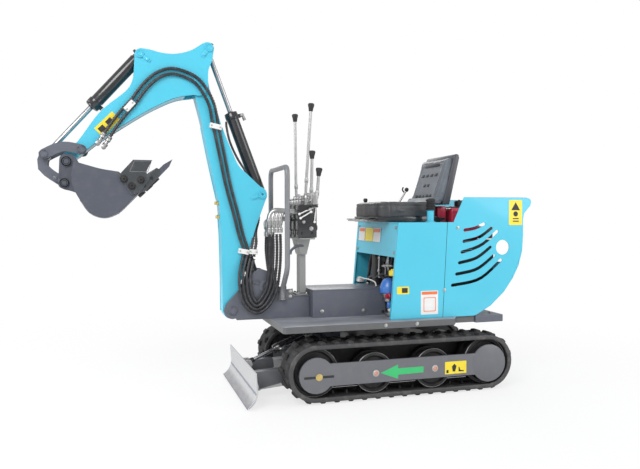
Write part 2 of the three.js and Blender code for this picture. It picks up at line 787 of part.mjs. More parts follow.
// ---- boom ----
function boom() {
  const shape = new THREE.Shape();
  shape.moveTo(-42, -18);
  shape.quadraticCurveTo(-30, -44, 2, -46);
  shape.quadraticCurveTo(46, -40, 46, 0);
  shape.lineTo(47, 157);
  shape.lineTo(52, 385);
  shape.splineThru([[66, 562], [110, 763], [144, 936], [180, 1078]].map((p) => new THREE.Vector2(...p)));
  shape.lineTo(elbow[0] + 44, elbow[1]);
  shape.absarc(elbow[0], elbow[1], 44, 0, Math.PI, false);
  shape.lineTo(109, 1122);
  const back = [[77, 1032], [49, 940], [-1, 816], [-36, 741], [-77, 700]];
  shape.splineThru(back.map((p) => new THREE.Vector2(...p)));
  shape.lineTo(-150, 632);
  shape.quadraticCurveTo(-188, 622, -184, 582);
  shape.lineTo(-128, 432);
  shape.lineTo(-97, 331);
  shape.lineTo(-37, 116);
  shape.closePath();
  const inside = boomHalf - boomWall;
  const channel = polygon([
    [-260, -80],
    [-24, -80],
    [-24, 20],
    [-13, 62],
    [36, 62],
    [37, 157],
    [42, 385],
    [56, 562],
    [76, 668],
    [40, 690],
    [-60, 650],
    [-110, 560],
    [-260, 560],
  ]);
  const barrelSide = (rise) => [
    armRamPin[0] + ram.barrelRadius + barrelRoom + 3 + rise * 0.371,
    armRamPin[1] + rise,
  ];
  const clevis = polygon([
    [armRamPin[0] - 60, armRamPin[1] - 48],
    [armRamPin[0] + 20, armRamPin[1] - 48],
    barrelSide(60),
    barrelSide(380),
    [armRamPin[0] + 40, armRamPin[1] + 380],
    [armRamPin[0] - 60, armRamPin[1] + 60],
  ]);
  return cut(
    slab(shape, -boomHalf, boomHalf, 6),
    slab(channel, -inside, inside),
    slab(clevis, -inside, inside),
  );
}

const bosses = (centre, radius, from, to, sidesCount = 12) =>
  [1, -1].map((side) => pin(centre, radius, ...between(side, from, to), sidesCount));

add(boomGroup, 'boom', join(boom(), ...bosses(armRamPin, 22, boomHalf - 1, boomHalf + 7)), blue());

// ---- arm ----
function arm() {
  const shape = new THREE.Shape();
  const through = (points) => shape.splineThru(points.map((p) => new THREE.Vector2(...p)));
  shape.moveTo(313, 100);
  shape.quadraticCurveTo(316, 140, 282, 144);
  through([[239, 140], [186, 129], [120, 128], [46, 149], [-14, 188]]);
  shape.quadraticCurveTo(-56, 212, -72, 172);
  through([[-62, 111], [-44, 60], [-41, 10]]);
  shape.quadraticCurveTo(-52, -60, 0, -72);
  shape.lineTo(29, -69);
  through([[107, -84], [179, -115], [289, -178], [476, -306], [590, -402]]);
  shape.lineTo(bucketPin[0] - 22, bucketPin[1] - 26);
  shape.quadraticCurveTo(bucketPin[0] + 34, bucketPin[1] - 30, bucketPin[0] + 33, bucketPin[1] + 6);
  shape.lineTo(bucketPin[0] + 16, bucketPin[1] + 36);
  through([[579, -319], [474, -172], [349, -60], [318, 9]]);
  shape.closePath();
  const inside = armHalf - armWall;
  const eyeRoom = [1, -1].map((side) => {
    const sideRoom = polygon([
      [bucketPin[0] - 74, bucketPin[1] + 4],
      [bucketPin[0] - 10, bucketPin[1] - 62],
      [bucketPin[0] + 70, bucketPin[1] - 62],
      [bucketPin[0] + 70, bucketPin[1] + 70],
      [bucketPin[0] - 14, bucketPin[1] + 66],
    ]);
    return slab(sideRoom, ...between(side, 44, armHalf + 20));
  });
  const sweeps = [];
  for (let turn = -88; turn <= 22; turn += 22) {
    const reach = box(-10, 260, -inside, inside, -52, 50);
    sweeps.push(reach.rotateY(THREE.MathUtils.degToRad(97 - turn)));
  }
  const hornLeft = polygon([
    [bucketRamPin[0] - 44, bucketRamPin[1] - 40],
    [bucketRamPin[0] - 16, bucketRamPin[1] - 52],
    [bucketRamPin[0] + 200, bucketRamPin[1] - 290],
    [bucketRamPin[0] + 300, bucketRamPin[1] - 200],
    [bucketRamPin[0] + 60, bucketRamPin[1] + 60],
    [bucketRamPin[0] - 44, bucketRamPin[1] + 60],
  ]);
  const hornRight = polygon([
    [armRamEye[0] + 60, armRamEye[1] - 34],
    [armRamEye[0] + 60, armRamEye[1] + 90],
    [armRamEye[0] - 90, armRamEye[1] + 90],
    [armRamEye[0] - 90, armRamEye[1] - 110],
    [armRamEye[0] + 10, armRamEye[1] - 110],
  ]);
  return cut(
    slab(shape, -armHalf, armHalf, 5),
    ...sweeps,
    pin([0, 0], 54, -inside, inside, 20),
    ...eyeRoom,
    slab(hornLeft, -hornRoom, hornRoom),
    slab(hornRight, -hornRoom, hornRoom),
  );
}

add(
  armGroup,
  'arm',
  join(
    arm(),
    ...bosses(bucketRamPin, 20, armHalf - 1, armHalf + 7),
    ...bosses(armRamEye, 20, armHalf - 1, armHalf + 7),
  ),
  blue(),
);

// ---- bucket ----
const earIn = 50;
const earOut = 62;

function bucket() {
  const through = (shape, points) => shape.splineThru(points.map((p) => new THREE.Vector2(...p)));
  const side = new THREE.Shape();
  side.moveTo(-40, -10);
  through(side, [[-66, -15], [-153, -39], [-236, -52]]);
  side.lineTo(-331, -146);
  side.lineTo(-262, -221);
  through(side, [[-226, -250], [-168, -268], [-107, -245], [-64, -185], [-34, -121], [-28, -60]]);
  side.closePath();
  const cavity = new THREE.Shape();
  cavity.moveTo(-60, 60);
  cavity.lineTo(-330, 60);
  cavity.lineTo(-345, -128);
  cavity.lineTo(-318, -146);
  cavity.lineTo(-255, -212);
  through(cavity, [[-220, -240], [-168, -257], [-115, -236], [-75, -180], [-46, -118], [-40, -62]]);
  cavity.lineTo(-52, -22);
  cavity.closePath();
  const inside = bucketHalf - bucketPlate;
  const shell = cut(slab(side, -bucketHalf, bucketHalf, 3), slab(cavity, -inside, inside, 3));
  const lip = slab(polygon([[-257, -228], [-250, -219], [-392, -72], [-399, -81]]), -bucketHalf, bucketHalf);
  const pieces = [shell, lip];
  const pitch = (2 * bucketHalf - 40) / 3;
  for (let i = 0; i < 4; i++) {
    const y = -bucketHalf + 20 + i * pitch;
    const tooth = polygon([[-358, -138], [-336, -116], [-440, -14], [-482, 12], [-466, -24]]);
    pieces.push(slab(tooth, y - 20, y + 20));
  }
  for (const [, flip] of sides) {
    const ear = rounded([
      [bucketLinkPin[0] + 28, bucketLinkPin[1] - 22, 20],
      [30, 34, 26],
      [-34, 34, 26],
      [-62, -24],
      [-48, -150],
      [bucketLinkPin[0] - 24, bucketLinkPin[1] - 34, 16],
    ]);
    pieces.push(slab(ear, ...between(flip, earIn, earOut), 5));
    pieces.push(pin([0, 0], 24, ...between(flip, earOut - 1, earOut + 9), 12));
    pieces.push(pin(bucketLinkPin, 22, ...between(flip, earOut - 1, earOut + 9), 12));
    const cutter = polygon([
      [-237, -67],
      [-300, 4],
      [-387, 4],
      [-359, -51],
      [-374, -84],
      [-331, -146],
      [-290, -160],
    ]);
    pieces.push(slab(cutter, ...between(flip, bucketHalf - 1, bucketHalf + 10)));
  }
  return join(...pieces);
}

add(bucketGroup, 'bucket', bucket(), slate());

// ---- bucket linkage ----
const linkFromElbow = plus(bucketPin, linkPin);
for (const [label, side] of sides) {
  const near = armHalf + 5;
  const [y0, y1] = between(side, near, near + 11);
  const bow = [(rockerPin[0] + linkFromElbow[0]) / 2 + 4, (rockerPin[1] + linkFromElbow[1]) / 2 + 24];
  const plate = slab(band([rockerPin, bow, linkFromElbow], 23), y0, y1);
  const [c0, c1] = between(side, near + 10, near + 19);
  const caps = [rockerPin, linkFromElbow].map((centre) => pin(centre, 19, c0, c1, 12));
  const spacer = pin(linkFromElbow, 17, ...between(side, 41, near + 1), 12);
  const hub = pin(rockerPin, 17, ...between(side, armHalf + gap, near + 1), 12);
  add(armGroup, `rocker_${label}`, join(plate, ...caps, spacer, hub), slate());
}

function link() {
  const bow = [linkFromElbow[0] + 6, linkFromElbow[1] - 62];
  const foot = plus(bucketPin, bucketLinkPin);
  const plates = [1, -1].map((side) =>
    slab(band([linkFromElbow, bow, foot], 23), ...between(side, ram.eyeHalf + 6, 40)),
  );
  return join(...plates, pin(foot, 24, -42, 42));
}

add(armGroup, 'bucket_link', link(), slate());

// ---- hoses: routes are [x, y, z], two or three hoses side by side ----
function hoseSet(points, offsets, steps) {
  const tubes = offsets.map((offset) => {
    const shifted = points.map(([x, y, z], i) => {
      const [a, b] = [points[Math.max(i - 1, 0)], points[Math.min(i + 1, points.length - 1)]];
      const [dx, dz] = [b[0] - a[0], b[2] - a[2]];
      const length = Math.hypot(dx, dz);
      return [x - (offset * dz) / length, y, z + (offset * dx) / length];
    });
    return tube(shifted, hoseRadius, steps, 6);
  });
  const width = 2 * Math.max(...offsets);
  const ties = [points[1], points[points.length - 2]].map(([x, y, z], i) => {
    const [a, b] = i === 0 ? [points[0], points[2]] : [points[points.length - 3], points[points.length - 1]];
    const tie = box(-5, 5, y - 4, y + 4, -width / 2, width / 2);
    return tie.rotateY(-Math.atan2(b[2] - a[2], b[0] - a[0])).translate(x, 0, z);
  });
  return join(...tubes, ...ties);
}

const boomHoseY = boomHalf + hoseRadius + 3;
const armHoseY = armHalf + hoseRadius + 3;
const hosePitch = 2 * hoseRadius + 1;
const pair = [-hosePitch / 2, hosePitch / 2];
const loopY = ears.inner + ears.plate + 10 + hoseRadius + 6;

const boomRoute = [[-72, 300], [-45, 384], [-20, 487], [20, 639], [50, 789], [79, 930]];
const elbowRoute = [[81, 942], [101, 1036], [135, 1103], [179, 1155], [232, 1181], [295, 1192], [352, 1174],
  [400, 1137], [440, 1090], [469, 1047]];
const armRoute = [[331, -131], [373, -181], [415, -240], [448, -293]];
const loopRoute = [[-221, 420], [-226, 306], [-220, 203], [-204, 101], [-167, 30], [-120, 1], [-73, 29],
  [-48, 91], [-43, 167], [-52, 225], [-64, 272]];

const boomHoses = boomRoute.map(([x, z]) => [x, boomHoseY, z]);
const armHoses = armRoute.map(([x, z]) => [x, armHoseY, z]);
const elbowHoses = elbowRoute.map(([x, z], i) => {
  const share = Math.min(1, i / 2);
  return [x, boomHoseY + (armHoseY - boomHoseY) * share, z];
});
const loopHoses = loopRoute.map(([x, z], i) => {
  const share = Math.max(0, (i - 7) / 3);
  return [x, loopY + (boomHoseY - loopY) * share, z];
});

const clamp = (x, z, length, width, y0, y1, angle) =>
  box(-length / 2, length / 2, y0, y1, -width / 2, width / 2).rotateY(angle).translate(x, 0, z);

add(
  boomGroup,
  'boom_hoses',
  join(
    hoseSet(boomHoses, pair, 10),
    clamp(-62, 330, 76, 22, boomHalf + gap, boomHoseY + hoseRadius + 3, -0.2),
    clamp(74, 905, 56, 26, boomHalf + gap, boomHoseY + hoseRadius + 3, -0.2),
  ),
  rubber(),
);
add(boomGroup, 'elbow_hoses', hoseSet(elbowHoses, pair, 18), rubber());
add(
  armGroup,
  'arm_hoses',
  join(
    hoseSet(armHoses, pair, 5),
    clamp(338, -140, 58, 26, armHalf + gap, armHoseY + hoseRadius + 3, 0.75),
    clamp(448, -293, 50, 34, armHalf + gap, armHoseY + hoseRadius + 1, 0.95),
  ),
  rubber(),
);
add(boomGroup, 'valve_hoses', hoseSet(loopHoses, [-hosePitch, 0, hosePitch], 24), rubber());

export default machine;
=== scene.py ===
import json
import math

import bmesh
import bpy
from mathutils import Matrix, Vector
from mathutils.bvhtree import BVHTree


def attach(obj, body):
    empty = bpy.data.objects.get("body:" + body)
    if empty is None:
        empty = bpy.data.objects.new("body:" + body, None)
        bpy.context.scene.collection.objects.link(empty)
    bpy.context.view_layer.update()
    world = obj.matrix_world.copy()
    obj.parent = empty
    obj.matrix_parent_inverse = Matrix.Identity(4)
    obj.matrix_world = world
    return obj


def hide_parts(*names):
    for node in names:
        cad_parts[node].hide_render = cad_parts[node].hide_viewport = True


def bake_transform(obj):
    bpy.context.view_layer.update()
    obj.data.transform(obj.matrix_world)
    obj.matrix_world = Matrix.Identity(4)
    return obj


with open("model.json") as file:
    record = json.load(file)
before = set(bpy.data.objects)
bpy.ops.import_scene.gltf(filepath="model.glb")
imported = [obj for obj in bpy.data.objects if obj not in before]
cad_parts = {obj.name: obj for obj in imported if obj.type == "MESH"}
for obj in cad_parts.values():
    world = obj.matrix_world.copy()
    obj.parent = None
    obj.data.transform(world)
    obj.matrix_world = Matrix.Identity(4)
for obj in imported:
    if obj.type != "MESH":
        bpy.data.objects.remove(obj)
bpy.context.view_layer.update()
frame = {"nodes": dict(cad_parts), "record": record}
print("frame loaded")

# where each body's pieces are measured from, in mm: x and z in the frame
ground, deck, boomFoot, elbow, bucketPin = (-487, 0), (-487, 385), (340, 435), (498, 1588), (1125, 1176)
origins = {
    "undercarriage": ground, "blade": ground, "blade_barrel": ground, "blade_rod": ground,
    "house": deck, "boom_barrel": deck, "boom_rod": deck,
    "boom": boomFoot, "arm_barrel": boomFoot, "arm_rod": boomFoot,
    "arm": elbow, "rocker": elbow, "bucket_barrel": elbow, "bucket_rod": elbow, "bucket": bucketPin,
}
onTrack, onBlade, onBoom, onArm, onBucket = (
    {"body": body} for body in ("undercarriage", "blade", "boom", "arm", "bucket"))
sides = {"left": 1, "right": -1}
both = (1, -1)
ahead, across, upward = (1, 0, 0), (0, 1, 0), (0, 0, 1)


# ---- materials ----
class Flow:  # a socket that can be used in sums
    def __init__(self, finish, socket):
        self.finish, self.socket = finish, socket

    def sum(self, operation, other):
        return self.finish.add("ShaderNodeMath", {"operation": operation}, {0: self, 1: other})

    def __add__(self, other):
        return self.sum("ADD", other)

    def __sub__(self, other):
        return self.sum("SUBTRACT", other)

    def __mul__(self, other):
        return self.sum("MULTIPLY", other)

    __radd__ = __add__


class Finish:  # one material, or the sky, and its nodes
    def __init__(self, name, sky=None):
        self.material = sky or bpy.data.materials.new(name)
        self.material.use_nodes = True
        self.tree = self.material.node_tree
        self.shader = self.tree.nodes.get("Principled BSDF")

    def add(self, kind, settings=None, inputs=None, output=0):
        node = self.tree.nodes.new(kind)
        for key, value in (settings or {}).items():
            setattr(node, key, value)
        for key, value in (inputs or {}).items():
            self.feed(node.inputs[key], value)
        return Flow(self, node.outputs[output])

    def feed(self, socket, value):
        if isinstance(value, Flow):
            self.tree.links.new(value.socket, socket)
        else:
            socket.default_value = value

    def spot(self):
        return self.add("ShaderNodeTexCoord", output="Object")

    def place(self, stretch):
        return self.add("ShaderNodeMapping", inputs={"Vector": self.spot(), "Scale": stretch})

    def height(self):
        return self.add("ShaderNodeSeparateXYZ", inputs={0: self.spot()}, output=2)

    def noise(self, scale, detail=2, rough=0.5, stretch=(1, 1, 1)):
        inputs = {"Vector": self.place(stretch), "Scale": scale, "Detail": detail, "Roughness": rough}
        return self.add("ShaderNodeTexNoise", inputs=inputs)

    def cells(self, scale):
        return self.add("ShaderNodeTexVoronoi", inputs={"Vector": self.place((1, 1, 1)), "Scale": scale})

    def between(self, value, low, high):
        return self.add("ShaderNodeMapRange", inputs={"Value": value, "From Min": low, "From Max": high})

    def mix(self, share, first, second):
        shades = {0: share, 6: asColour(first), 7: asColour(second)}
        return self.add("ShaderNodeMix", {"data_type": "RGBA"}, shades, output=2)

    def bump(self, height, distance, strength=1.0):
        inputs = {"Height": height, "Distance": distance, "Strength": strength}
        return self.add("ShaderNodeBump", inputs=inputs)

    def close(self, colour, roughness, metallic=0, normal=None, coat=0, coatRoughness=0.05, specular=0.5):
        values = {"Base Color": asColour(colour), "Roughness": roughness, "Metallic": metallic,
                  "Coat Weight": coat, "Coat Roughness": coatRoughness, "Specular IOR Level": specular}
        for key, value in values.items():
            self.feed(self.shader.inputs[key], value)
        if normal is not None:
            self.feed(self.shader.inputs["Normal"], normal)
        return self.material


def asColour(value):
    return value if isinstance(value, Flow) else (*value[:3], 1)


def shade(colour, factor):
    return tuple(part * factor for part in colour)


dustColour = (0.30, 0.27, 0.23)
primerColour = (0.12, 0.12, 0.13)


def paint(name, colour, rough=0.32, coat=0.35, dust=0.12, chips=0.25):
    f = Finish(name)
    drift = f.noise(2.6, 3)
    soft = f.noise(24, 6, 0.62)
    base = f.mix(drift, shade(colour, 0.94), shade(colour, 1.05))
    film = f.between(soft, 0.50, 0.78) * dust
    dusty = f.mix(film, base, dustColour)
    nicks = f.between(f.noise(190, 3, 0.7), 0.735, 0.765) * f.between(f.noise(9, 2), 0.55, 0.7) * chips
    worn = f.mix(nicks, dusty, primerColour)
    peel = f.noise(430, 1)
    scuffs = f.noise(60, 5, 0.7, (1, 0.25, 1))
    roughness = drift * 0.06 + film * 1.2 + f.between(scuffs, 0.55, 0.8) * 0.08 + (rough - 0.03)
    relief = peel * 0.5 - nicks * 1.5 + soft * 0.25
    return f.close(worn, roughness, 0, f.bump(relief, 0.0004, 0.35), coat)


def deckFinish():  # the top is painted paler than the edges: painted light from above on the top, painted shade on the edges
    f = Finish("deckPaint")
    soft = f.noise(16, 6, 0.66)
    streaks = f.noise(9, 5, 0.65, (0.25, 1, 1))
    # painted light: faces at the top's height get the pale streaked colour, and lower faces keep the dark one
    # as painted shade
    litTopMask = f.between(f.height(), 0.3822, 0.3836)
    pale = f.mix(f.between(streaks, 0.35, 0.68), (0.185, 0.19, 0.21), (0.36, 0.37, 0.42))
    colour = f.mix(litTopMask, f.mix(soft, (0.085, 0.088, 0.092), (0.13, 0.132, 0.138)), pale)
    relief = soft * 0.6 + f.noise(300, 2) * 0.4
    return f.close(colour, 0.40 + soft * 0.15, 0, f.bump(relief, 0.0005, 0.4), 0.1)


def trackRubber():
    f = Finish("trackRubber")
    soft = f.noise(14, 7, 0.68)
    fine = f.noise(260, 4, 0.6)
    base = f.mix(soft, (0.020, 0.020, 0.022), (0.062, 0.062, 0.065))
    low = f.between(f.height(), 0.16, 0.0)
    dust = f.between(soft, 0.45, 0.72) * (low * 0.25 + 0.22)
    colour = f.mix(dust, base, (0.16, 0.155, 0.15))
    return f.close(colour, 0.72 + fine * 0.2, 0, f.bump(fine + soft * 0.6, 0.0012, 0.6), specular=0.35)


def hoseRubber():
    f = Finish("hoseRubber")
    soft = f.noise(40, 4, 0.6)
    fine = f.noise(600, 2)
    colour = f.mix(f.between(soft, 0.45, 0.75) * 0.6, (0.022, 0.022, 0.026), (0.09, 0.09, 0.098))
    return f.close(colour, 0.24 + soft * 0.25, 0, f.bump(fine, 0.0003, 0.4))


def bareMetal(name, colour, rough, grain=(1, 1, 1), stain=(0.25, 0.22, 0.2), amount=0.25):
    f = Finish(name)
    soft = f.noise(45, 5, 0.65)
    lines = f.noise(300, 3, 0.6, grain)
    tone = f.mix(lines, shade(colour, 0.88), shade(colour, 1.06))
    spots = f.between(soft, 0.56, 0.8) * amount
    relief = f.bump(lines, 0.0002, 0.35)
    return f.close(f.mix(spots, tone, stain), rough + lines * 0.12 + spots * 0.5, 1, relief)


def chromeRod():
    f = Finish("chromeRod")
    fine = f.noise(700, 2, 0.5)
    film = f.between(f.noise(30, 4, 0.6), 0.55, 0.8)
    colour = f.mix(film * 0.3, (0.42, 0.43, 0.45), (0.34, 0.34, 0.34))
    return f.close(colour, 0.24 + fine * 0.06 + film * 0.12, 1, f.bump(fine, 0.00005, 0.3))


def seatVinyl(name, colour):
    f = Finish(name)
    grain = f.cells(360)
    crease = f.noise(34, 5, 0.62)
    base = f.mix(crease, shade(colour, 0.7), shade(colour, 1.3))
    pale = f.between(f.noise(7, 3), 0.5, 0.75) * 0.2
    colour = f.mix(pale, base, shade(colour, 2.2))
    relief = f.bump(grain * 0.7 + crease * 0.5, 0.0007, 0.6)
    return f.close(colour, 0.42 + crease * 0.14 - grain * 0.06, 0, relief, 0.12, 0.3)


def plastic(name, colour, rough=0.4, coat=0.0):
    f = Finish(name)
    soft = f.noise(30, 4, 0.6)
    fine = f.noise(520, 2)
    tone = f.mix(soft, shade(colour, 0.9), shade(colour, 1.06))
    return f.close(tone, rough + soft * 0.12, 0, f.bump(fine, 0.0002, 0.3), coat)


def bladeSteel():  # paint is rubbed off the lowest part
    f = Finish("bladeSteel")
    low = f.between(f.height() + f.noise(18, 4, 0.6) * 0.02, 0.062, 0.040)
    soft = f.noise(22, 6, 0.65)
    rubbed = f.noise(90, 4, 0.6, (1, 0.2, 1))
    painted = f.mix(soft, (0.45, 0.455, 0.465), (0.56, 0.565, 0.575))
    bright = f.mix(rubbed, (0.34, 0.34, 0.36), (0.62, 0.62, 0.64))
    streak = f.between(rubbed, 0.58, 0.75) * 0.22
    colour = f.mix(low, f.mix(streak, painted, (0.34, 0.34, 0.35)), bright)
    return f.close(colour, 0.42 + rubbed * 0.15, low * 0.8, f.bump(rubbed + soft * 0.5, 0.0005, 0.5), 0.1)


bluePaint = paint("bluePaint", (0.070, 0.520, 0.700), 0.30, 0.4, 0.05, 0.12)
slatePaint = paint("slatePaint", (0.105, 0.115, 0.145), 0.40, 0.15, 0.12, 0.3)
deckPaint = deckFinish()
bucketPaint = paint("bucketPaint", (0.072, 0.080, 0.105), 0.42, 0.12, 0.1, 0.35)
cutterPaint = paint("cutterPaint", (0.040, 0.046, 0.052), 0.38, 0.15, 0.12, 0.4)
standPaint = paint("standPaint", (0.30, 0.305, 0.30), 0.36, 0.2, 0.1, 0.3)
barPaint = paint("barPaint", (0.135, 0.14, 0.155), 0.42, 0.12, 0.14, 0.3)
blackPaint = paint("blackPaint", (0.014, 0.015, 0.018), 0.24, 0.5, 0.05, 0.15)
dullBlack = paint("dullBlack", (0.020, 0.020, 0.022), 0.55, 0.0, 0.15, 0.2)
redPaint = paint("redPaint", (0.46, 0.015, 0.045), 0.3, 0.4, 0.06, 0.1)
bluePlastic = plastic("bluePlastic", (0.05, 0.20, 0.62), 0.3, 0.4)
blackPlastic = plastic("blackPlastic", (0.02, 0.02, 0.022), 0.45)
whitePlastic = plastic("whitePlastic", (0.78, 0.78, 0.77), 0.35, 0.2)
yellowSheet = plastic("yellowSheet", (0.86, 0.68, 0.03), 0.3, 0.3)
orangeSheet = plastic("orangeSheet", (0.82, 0.17, 0.05), 0.3, 0.3)
greenSheet = plastic("greenSheet", (0.035, 0.50, 0.16), 0.32, 0.3)
zinc = bareMetal("zinc", (0.54, 0.54, 0.52), 0.3)
goldZinc = bareMetal("goldZinc", (0.72, 0.55, 0.22), 0.32)
silver = bareMetal("silver", (0.44, 0.44, 0.44), 0.33)
castSteel = bareMetal("castSteel", (0.30, 0.30, 0.31), 0.45, amount=0.5)
track = trackRubber()
trackEdge = paint("trackEdge", (0.052, 0.052, 0.055), 0.5, 0.0, 0.35, 0.0)
railPaint = paint("railPaint", (0.20, 0.205, 0.22), 0.34, 0.2, 0.08, 0.25)
wornEdge = bareMetal("wornEdge", (0.40, 0.41, 0.47), 0.42, (1, 0.2, 1), (0.2, 0.2, 0.24), 0.5)
seatShellPlastic = plastic("seatShellPlastic", (0.055, 0.058, 0.07), 0.38, 0.1)
# painted shade: a dark blue for the shadow along the arm's lower edge
armEdgeShadePaint = paint("armEdgeShadePaint", (0.02, 0.13, 0.18), 0.6, 0.0)
hose = hoseRubber()
rodFinish = chromeRod()
vinyl = seatVinyl("seatVinyl", (0.042, 0.043, 0.047))
backVinyl = seatVinyl("backVinyl", (0.105, 0.120, 0.142))
blade = bladeSteel()
print("materials ready")


# ---- pieces: drawn in mm from their body's origin ----
def show(name, data):
    thing = bpy.data.objects.new(name, data)
    bpy.context.scene.collection.objects.link(thing)
    return thing


def toMesh(name, bm):
    mesh = bpy.data.meshes.new(name)
    bm.to_mesh(mesh)
    bm.free()
    return mesh


def finishPiece(name, mesh, body, finish, smooth=38, replaces=(), bevel=None, slot=None):
    piece = show(name, mesh)
    mesh.materials.clear()
    mesh.materials.append(finish)
    for face in mesh.polygons:
        face.material_index = 0
    mesh.shade_smooth()
    mesh.set_sharp_from_angle(angle=math.radians(smooth))
    if bevel:
        width, segments = bevel
        rounding = piece.modifiers.new("edges", "BEVEL")
        rounding.width, rounding.segments = width / 1000, segments
        rounding.limit_method, rounding.angle_limit = "ANGLE", math.radians(28)
        rounding.use_clamp_overlap, rounding.harden_normals = True, True
    if body:
        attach(piece, body)
    if replaces:
        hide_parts(*replaces)
    return piece


def draw(bm, shapes):
    for shape in shapes:
        if isinstance(shape, list):
            draw(bm, shape)
        else:
            shape[0](bm, *shape[1:])


# a shape is a drawing function and its values, shapes may be in lists; a blended piece is placed from its
# body's origin but attached to none, with its normals as drawn
def build(name, finish, *shapes, body="house", blended=False, **options):
    bm = bmesh.new()
    draw(bm, list(shapes))
    if not blended:
        bmesh.ops.recalc_face_normals(bm, faces=bm.faces)
    x, z = origins[body]
    bmesh.ops.transform(bm, verts=bm.verts, matrix=Matrix.Translation((x, 0, z)))
    bmesh.ops.scale(bm, verts=bm.verts, vec=(0.001, 0.001, 0.001))
    return finishPiece(name, toMesh(name, bm), None if blended else body, finish, **options)


def fromSolid(node):
    bm = bmesh.new()
    bm.from_mesh(frame["nodes"][node].data)
    bmesh.ops.remove_doubles(bm, verts=bm.verts, dist=0.00002)
    return bm


def flatten(bm):  # joins the faces of one plane
    bmesh.ops.dissolve_limit(bm, angle_limit=math.radians(1.2), verts=bm.verts, edges=bm.edges)


def fromNode(node, finish, width=2, slot=None, segments=2, name=None):
    bm = fromSolid(node)
    flatten(bm)
    body = next(body for body, nodes in frame["record"]["behaviour"]["bodies"].items() if node in nodes)
    mesh = toMesh(node, bm)
    return finishPiece(name or node + "Shell", mesh, body, finish, 38, [node], (width, segments), slot)


def turnTo(axis):
    return Vector(axis).to_track_quat("Z", "Y").to_matrix().to_4x4()


def span(side, a, b):  # from a to b across, on one side
    return sorted((side * a, side * b))


def oblong(x0, x1, z0, z1):
    return [(x0, z0), (x1, z0), (x1, z1), (x0, z1)]


def drum(radius, low, high):
    return [(0, low), (radius, low), (radius, high), (0, high)]


def collar(inner, outer, half, edge):  # a ring's section, its outer corners cut
    return [(inner, -half), (outer - edge, -half), (outer, -half + edge), (outer, half - edge),
            (outer - edge, half), (inner, half), (inner, -half)]


def cutEdges(bm, edges, width, segments, clamped=True):
    bmesh.ops.bevel(bm, geom=edges, offset=width, offset_type="OFFSET", affect="EDGES",
                    segments=segments, profile=0.5, material=-1, clamp_overlap=clamped)


def roundEdges(bm, verts, width, segments=2, sharpest=0.6):
    edges = {edge for vert in verts for edge in vert.link_edges}
    sharp = [edge for edge in edges if edge.is_manifold and edge.calc_face_angle(0) > sharpest]
    cutEdges(bm, sharp, width, segments)


def block(bm, x0, x1, y0, y1, z0, z1, bevel=0, segments=2, turn=None):
    size = Matrix.Diagonal((x1 - x0, y1 - y0, z1 - z0, 1))
    middle = Matrix.Translation(((x0 + x1) / 2, (y0 + y1) / 2, (z0 + z1) / 2))
    matrix = middle @ (turn or Matrix.Identity(4)) @ size
    made = bmesh.ops.create_cube(bm, size=1, matrix=matrix)["verts"]
    if bevel:
        roundEdges(bm, made, bevel, segments)
    return made


def peg(bm, centre, axis, radius, length, sides=24, bevel=0):
    matrix = Matrix.Translation(centre) @ turnTo(axis)
    made = bmesh.ops.create_cone(bm, cap_ends=True, segments=sides, radius1=radius, radius2=radius,
                                 depth=length, matrix=matrix)["verts"]
    if bevel:
        rims = {edge for vert in made for edge in vert.link_edges if len(edge.link_faces) == 2
                and any(len(face.verts) > 4 for face in edge.link_faces)}
        cutEdges(bm, list(rims), bevel, 2)


def plate(bm, outline, y0, y1, bevel=0, segments=2):
    verts = [bm.verts.new((x, y0, z)) for x, z in outline]
    face = bm.faces.new(verts)
    grown = bmesh.ops.extrude_face_region(bm, geom=[face])["geom"]
    moved = [item for item in grown if isinstance(item, bmesh.types.BMVert)]
    bmesh.ops.translate(bm, verts=moved, vec=(0, y1 - y0, 0))
    made = verts + moved
    bmesh.ops.recalc_face_normals(bm, faces=list({f for v in made for f in v.link_faces}))
    if bevel:
        roundEdges(bm, made, bevel, segments)
    return made


def sheet(bm, corners, y, side, rise=0.35, radius=3):  # a label with rounded corners
    verts = plate(bm, corners, *span(side, y + 0.15, y + 0.15 + rise))
    upright = [edge for edge in {e for v in verts for e in v.link_edges}
               if abs(edge.verts[0].co.y - edge.verts[1].co.y) > rise * 0.5]
    cutEdges(bm, upright, radius, 4, False)


def turned(bm, profile, centre, axis, steps=32):  # profile is (radius, distance along the axis)
    matrix = Matrix.Translation(centre) @ turnTo(axis)
    verts = [bm.verts.new(matrix @ Vector((radius, 0, along))) for radius, along in profile]
    edges = [bm.edges.new(pair) for pair in zip(verts, verts[1:])]
    direction = matrix.to_3x3() @ Vector((0, 0, 1))
    bmesh.ops.spin(bm, geom=verts + edges, cent=centre, axis=direction, angle=math.tau,
                   steps=steps, use_merge=True)
    bmesh.ops.remove_doubles(bm, verts=bm.verts, dist=0.002)


def smoothLine(points, spacing):  # a smooth line through the points, cut into even steps
    spots = [Vector(point) for point in points]
    spots = [2 * spots[0] - spots[1]] + spots + [2 * spots[-1] - spots[-2]]
    fine = []
    for a, b, c, d in zip(spots, spots[1:], spots[2:], spots[3:]):
        for k in range(24):
            t = k / 24
            fine.append(0.5 * (2 * b + (c - a) * t + (2 * a - 5 * b + 4 * c - d) * t * t
                               + (3 * b - a - 3 * c + d) * t ** 3))
    fine.append(spots[-2])
    length = sum((b - a).length for a, b in zip(fine, fine[1:]))
    steps = max(2, round(length / spacing))
    line, done, at = [fine[0]], 0, 0
    for k in range(1, steps):
        goal = k * length / steps
        while done + (fine[at + 1] - fine[at]).length < goal:
            done += (fine[at + 1] - fine[at]).length
            at += 1
        line.append(fine[at].lerp(fine[at + 1], (goal - done) / (fine[at + 1] - fine[at]).length))
    return line + [fine[-1]]


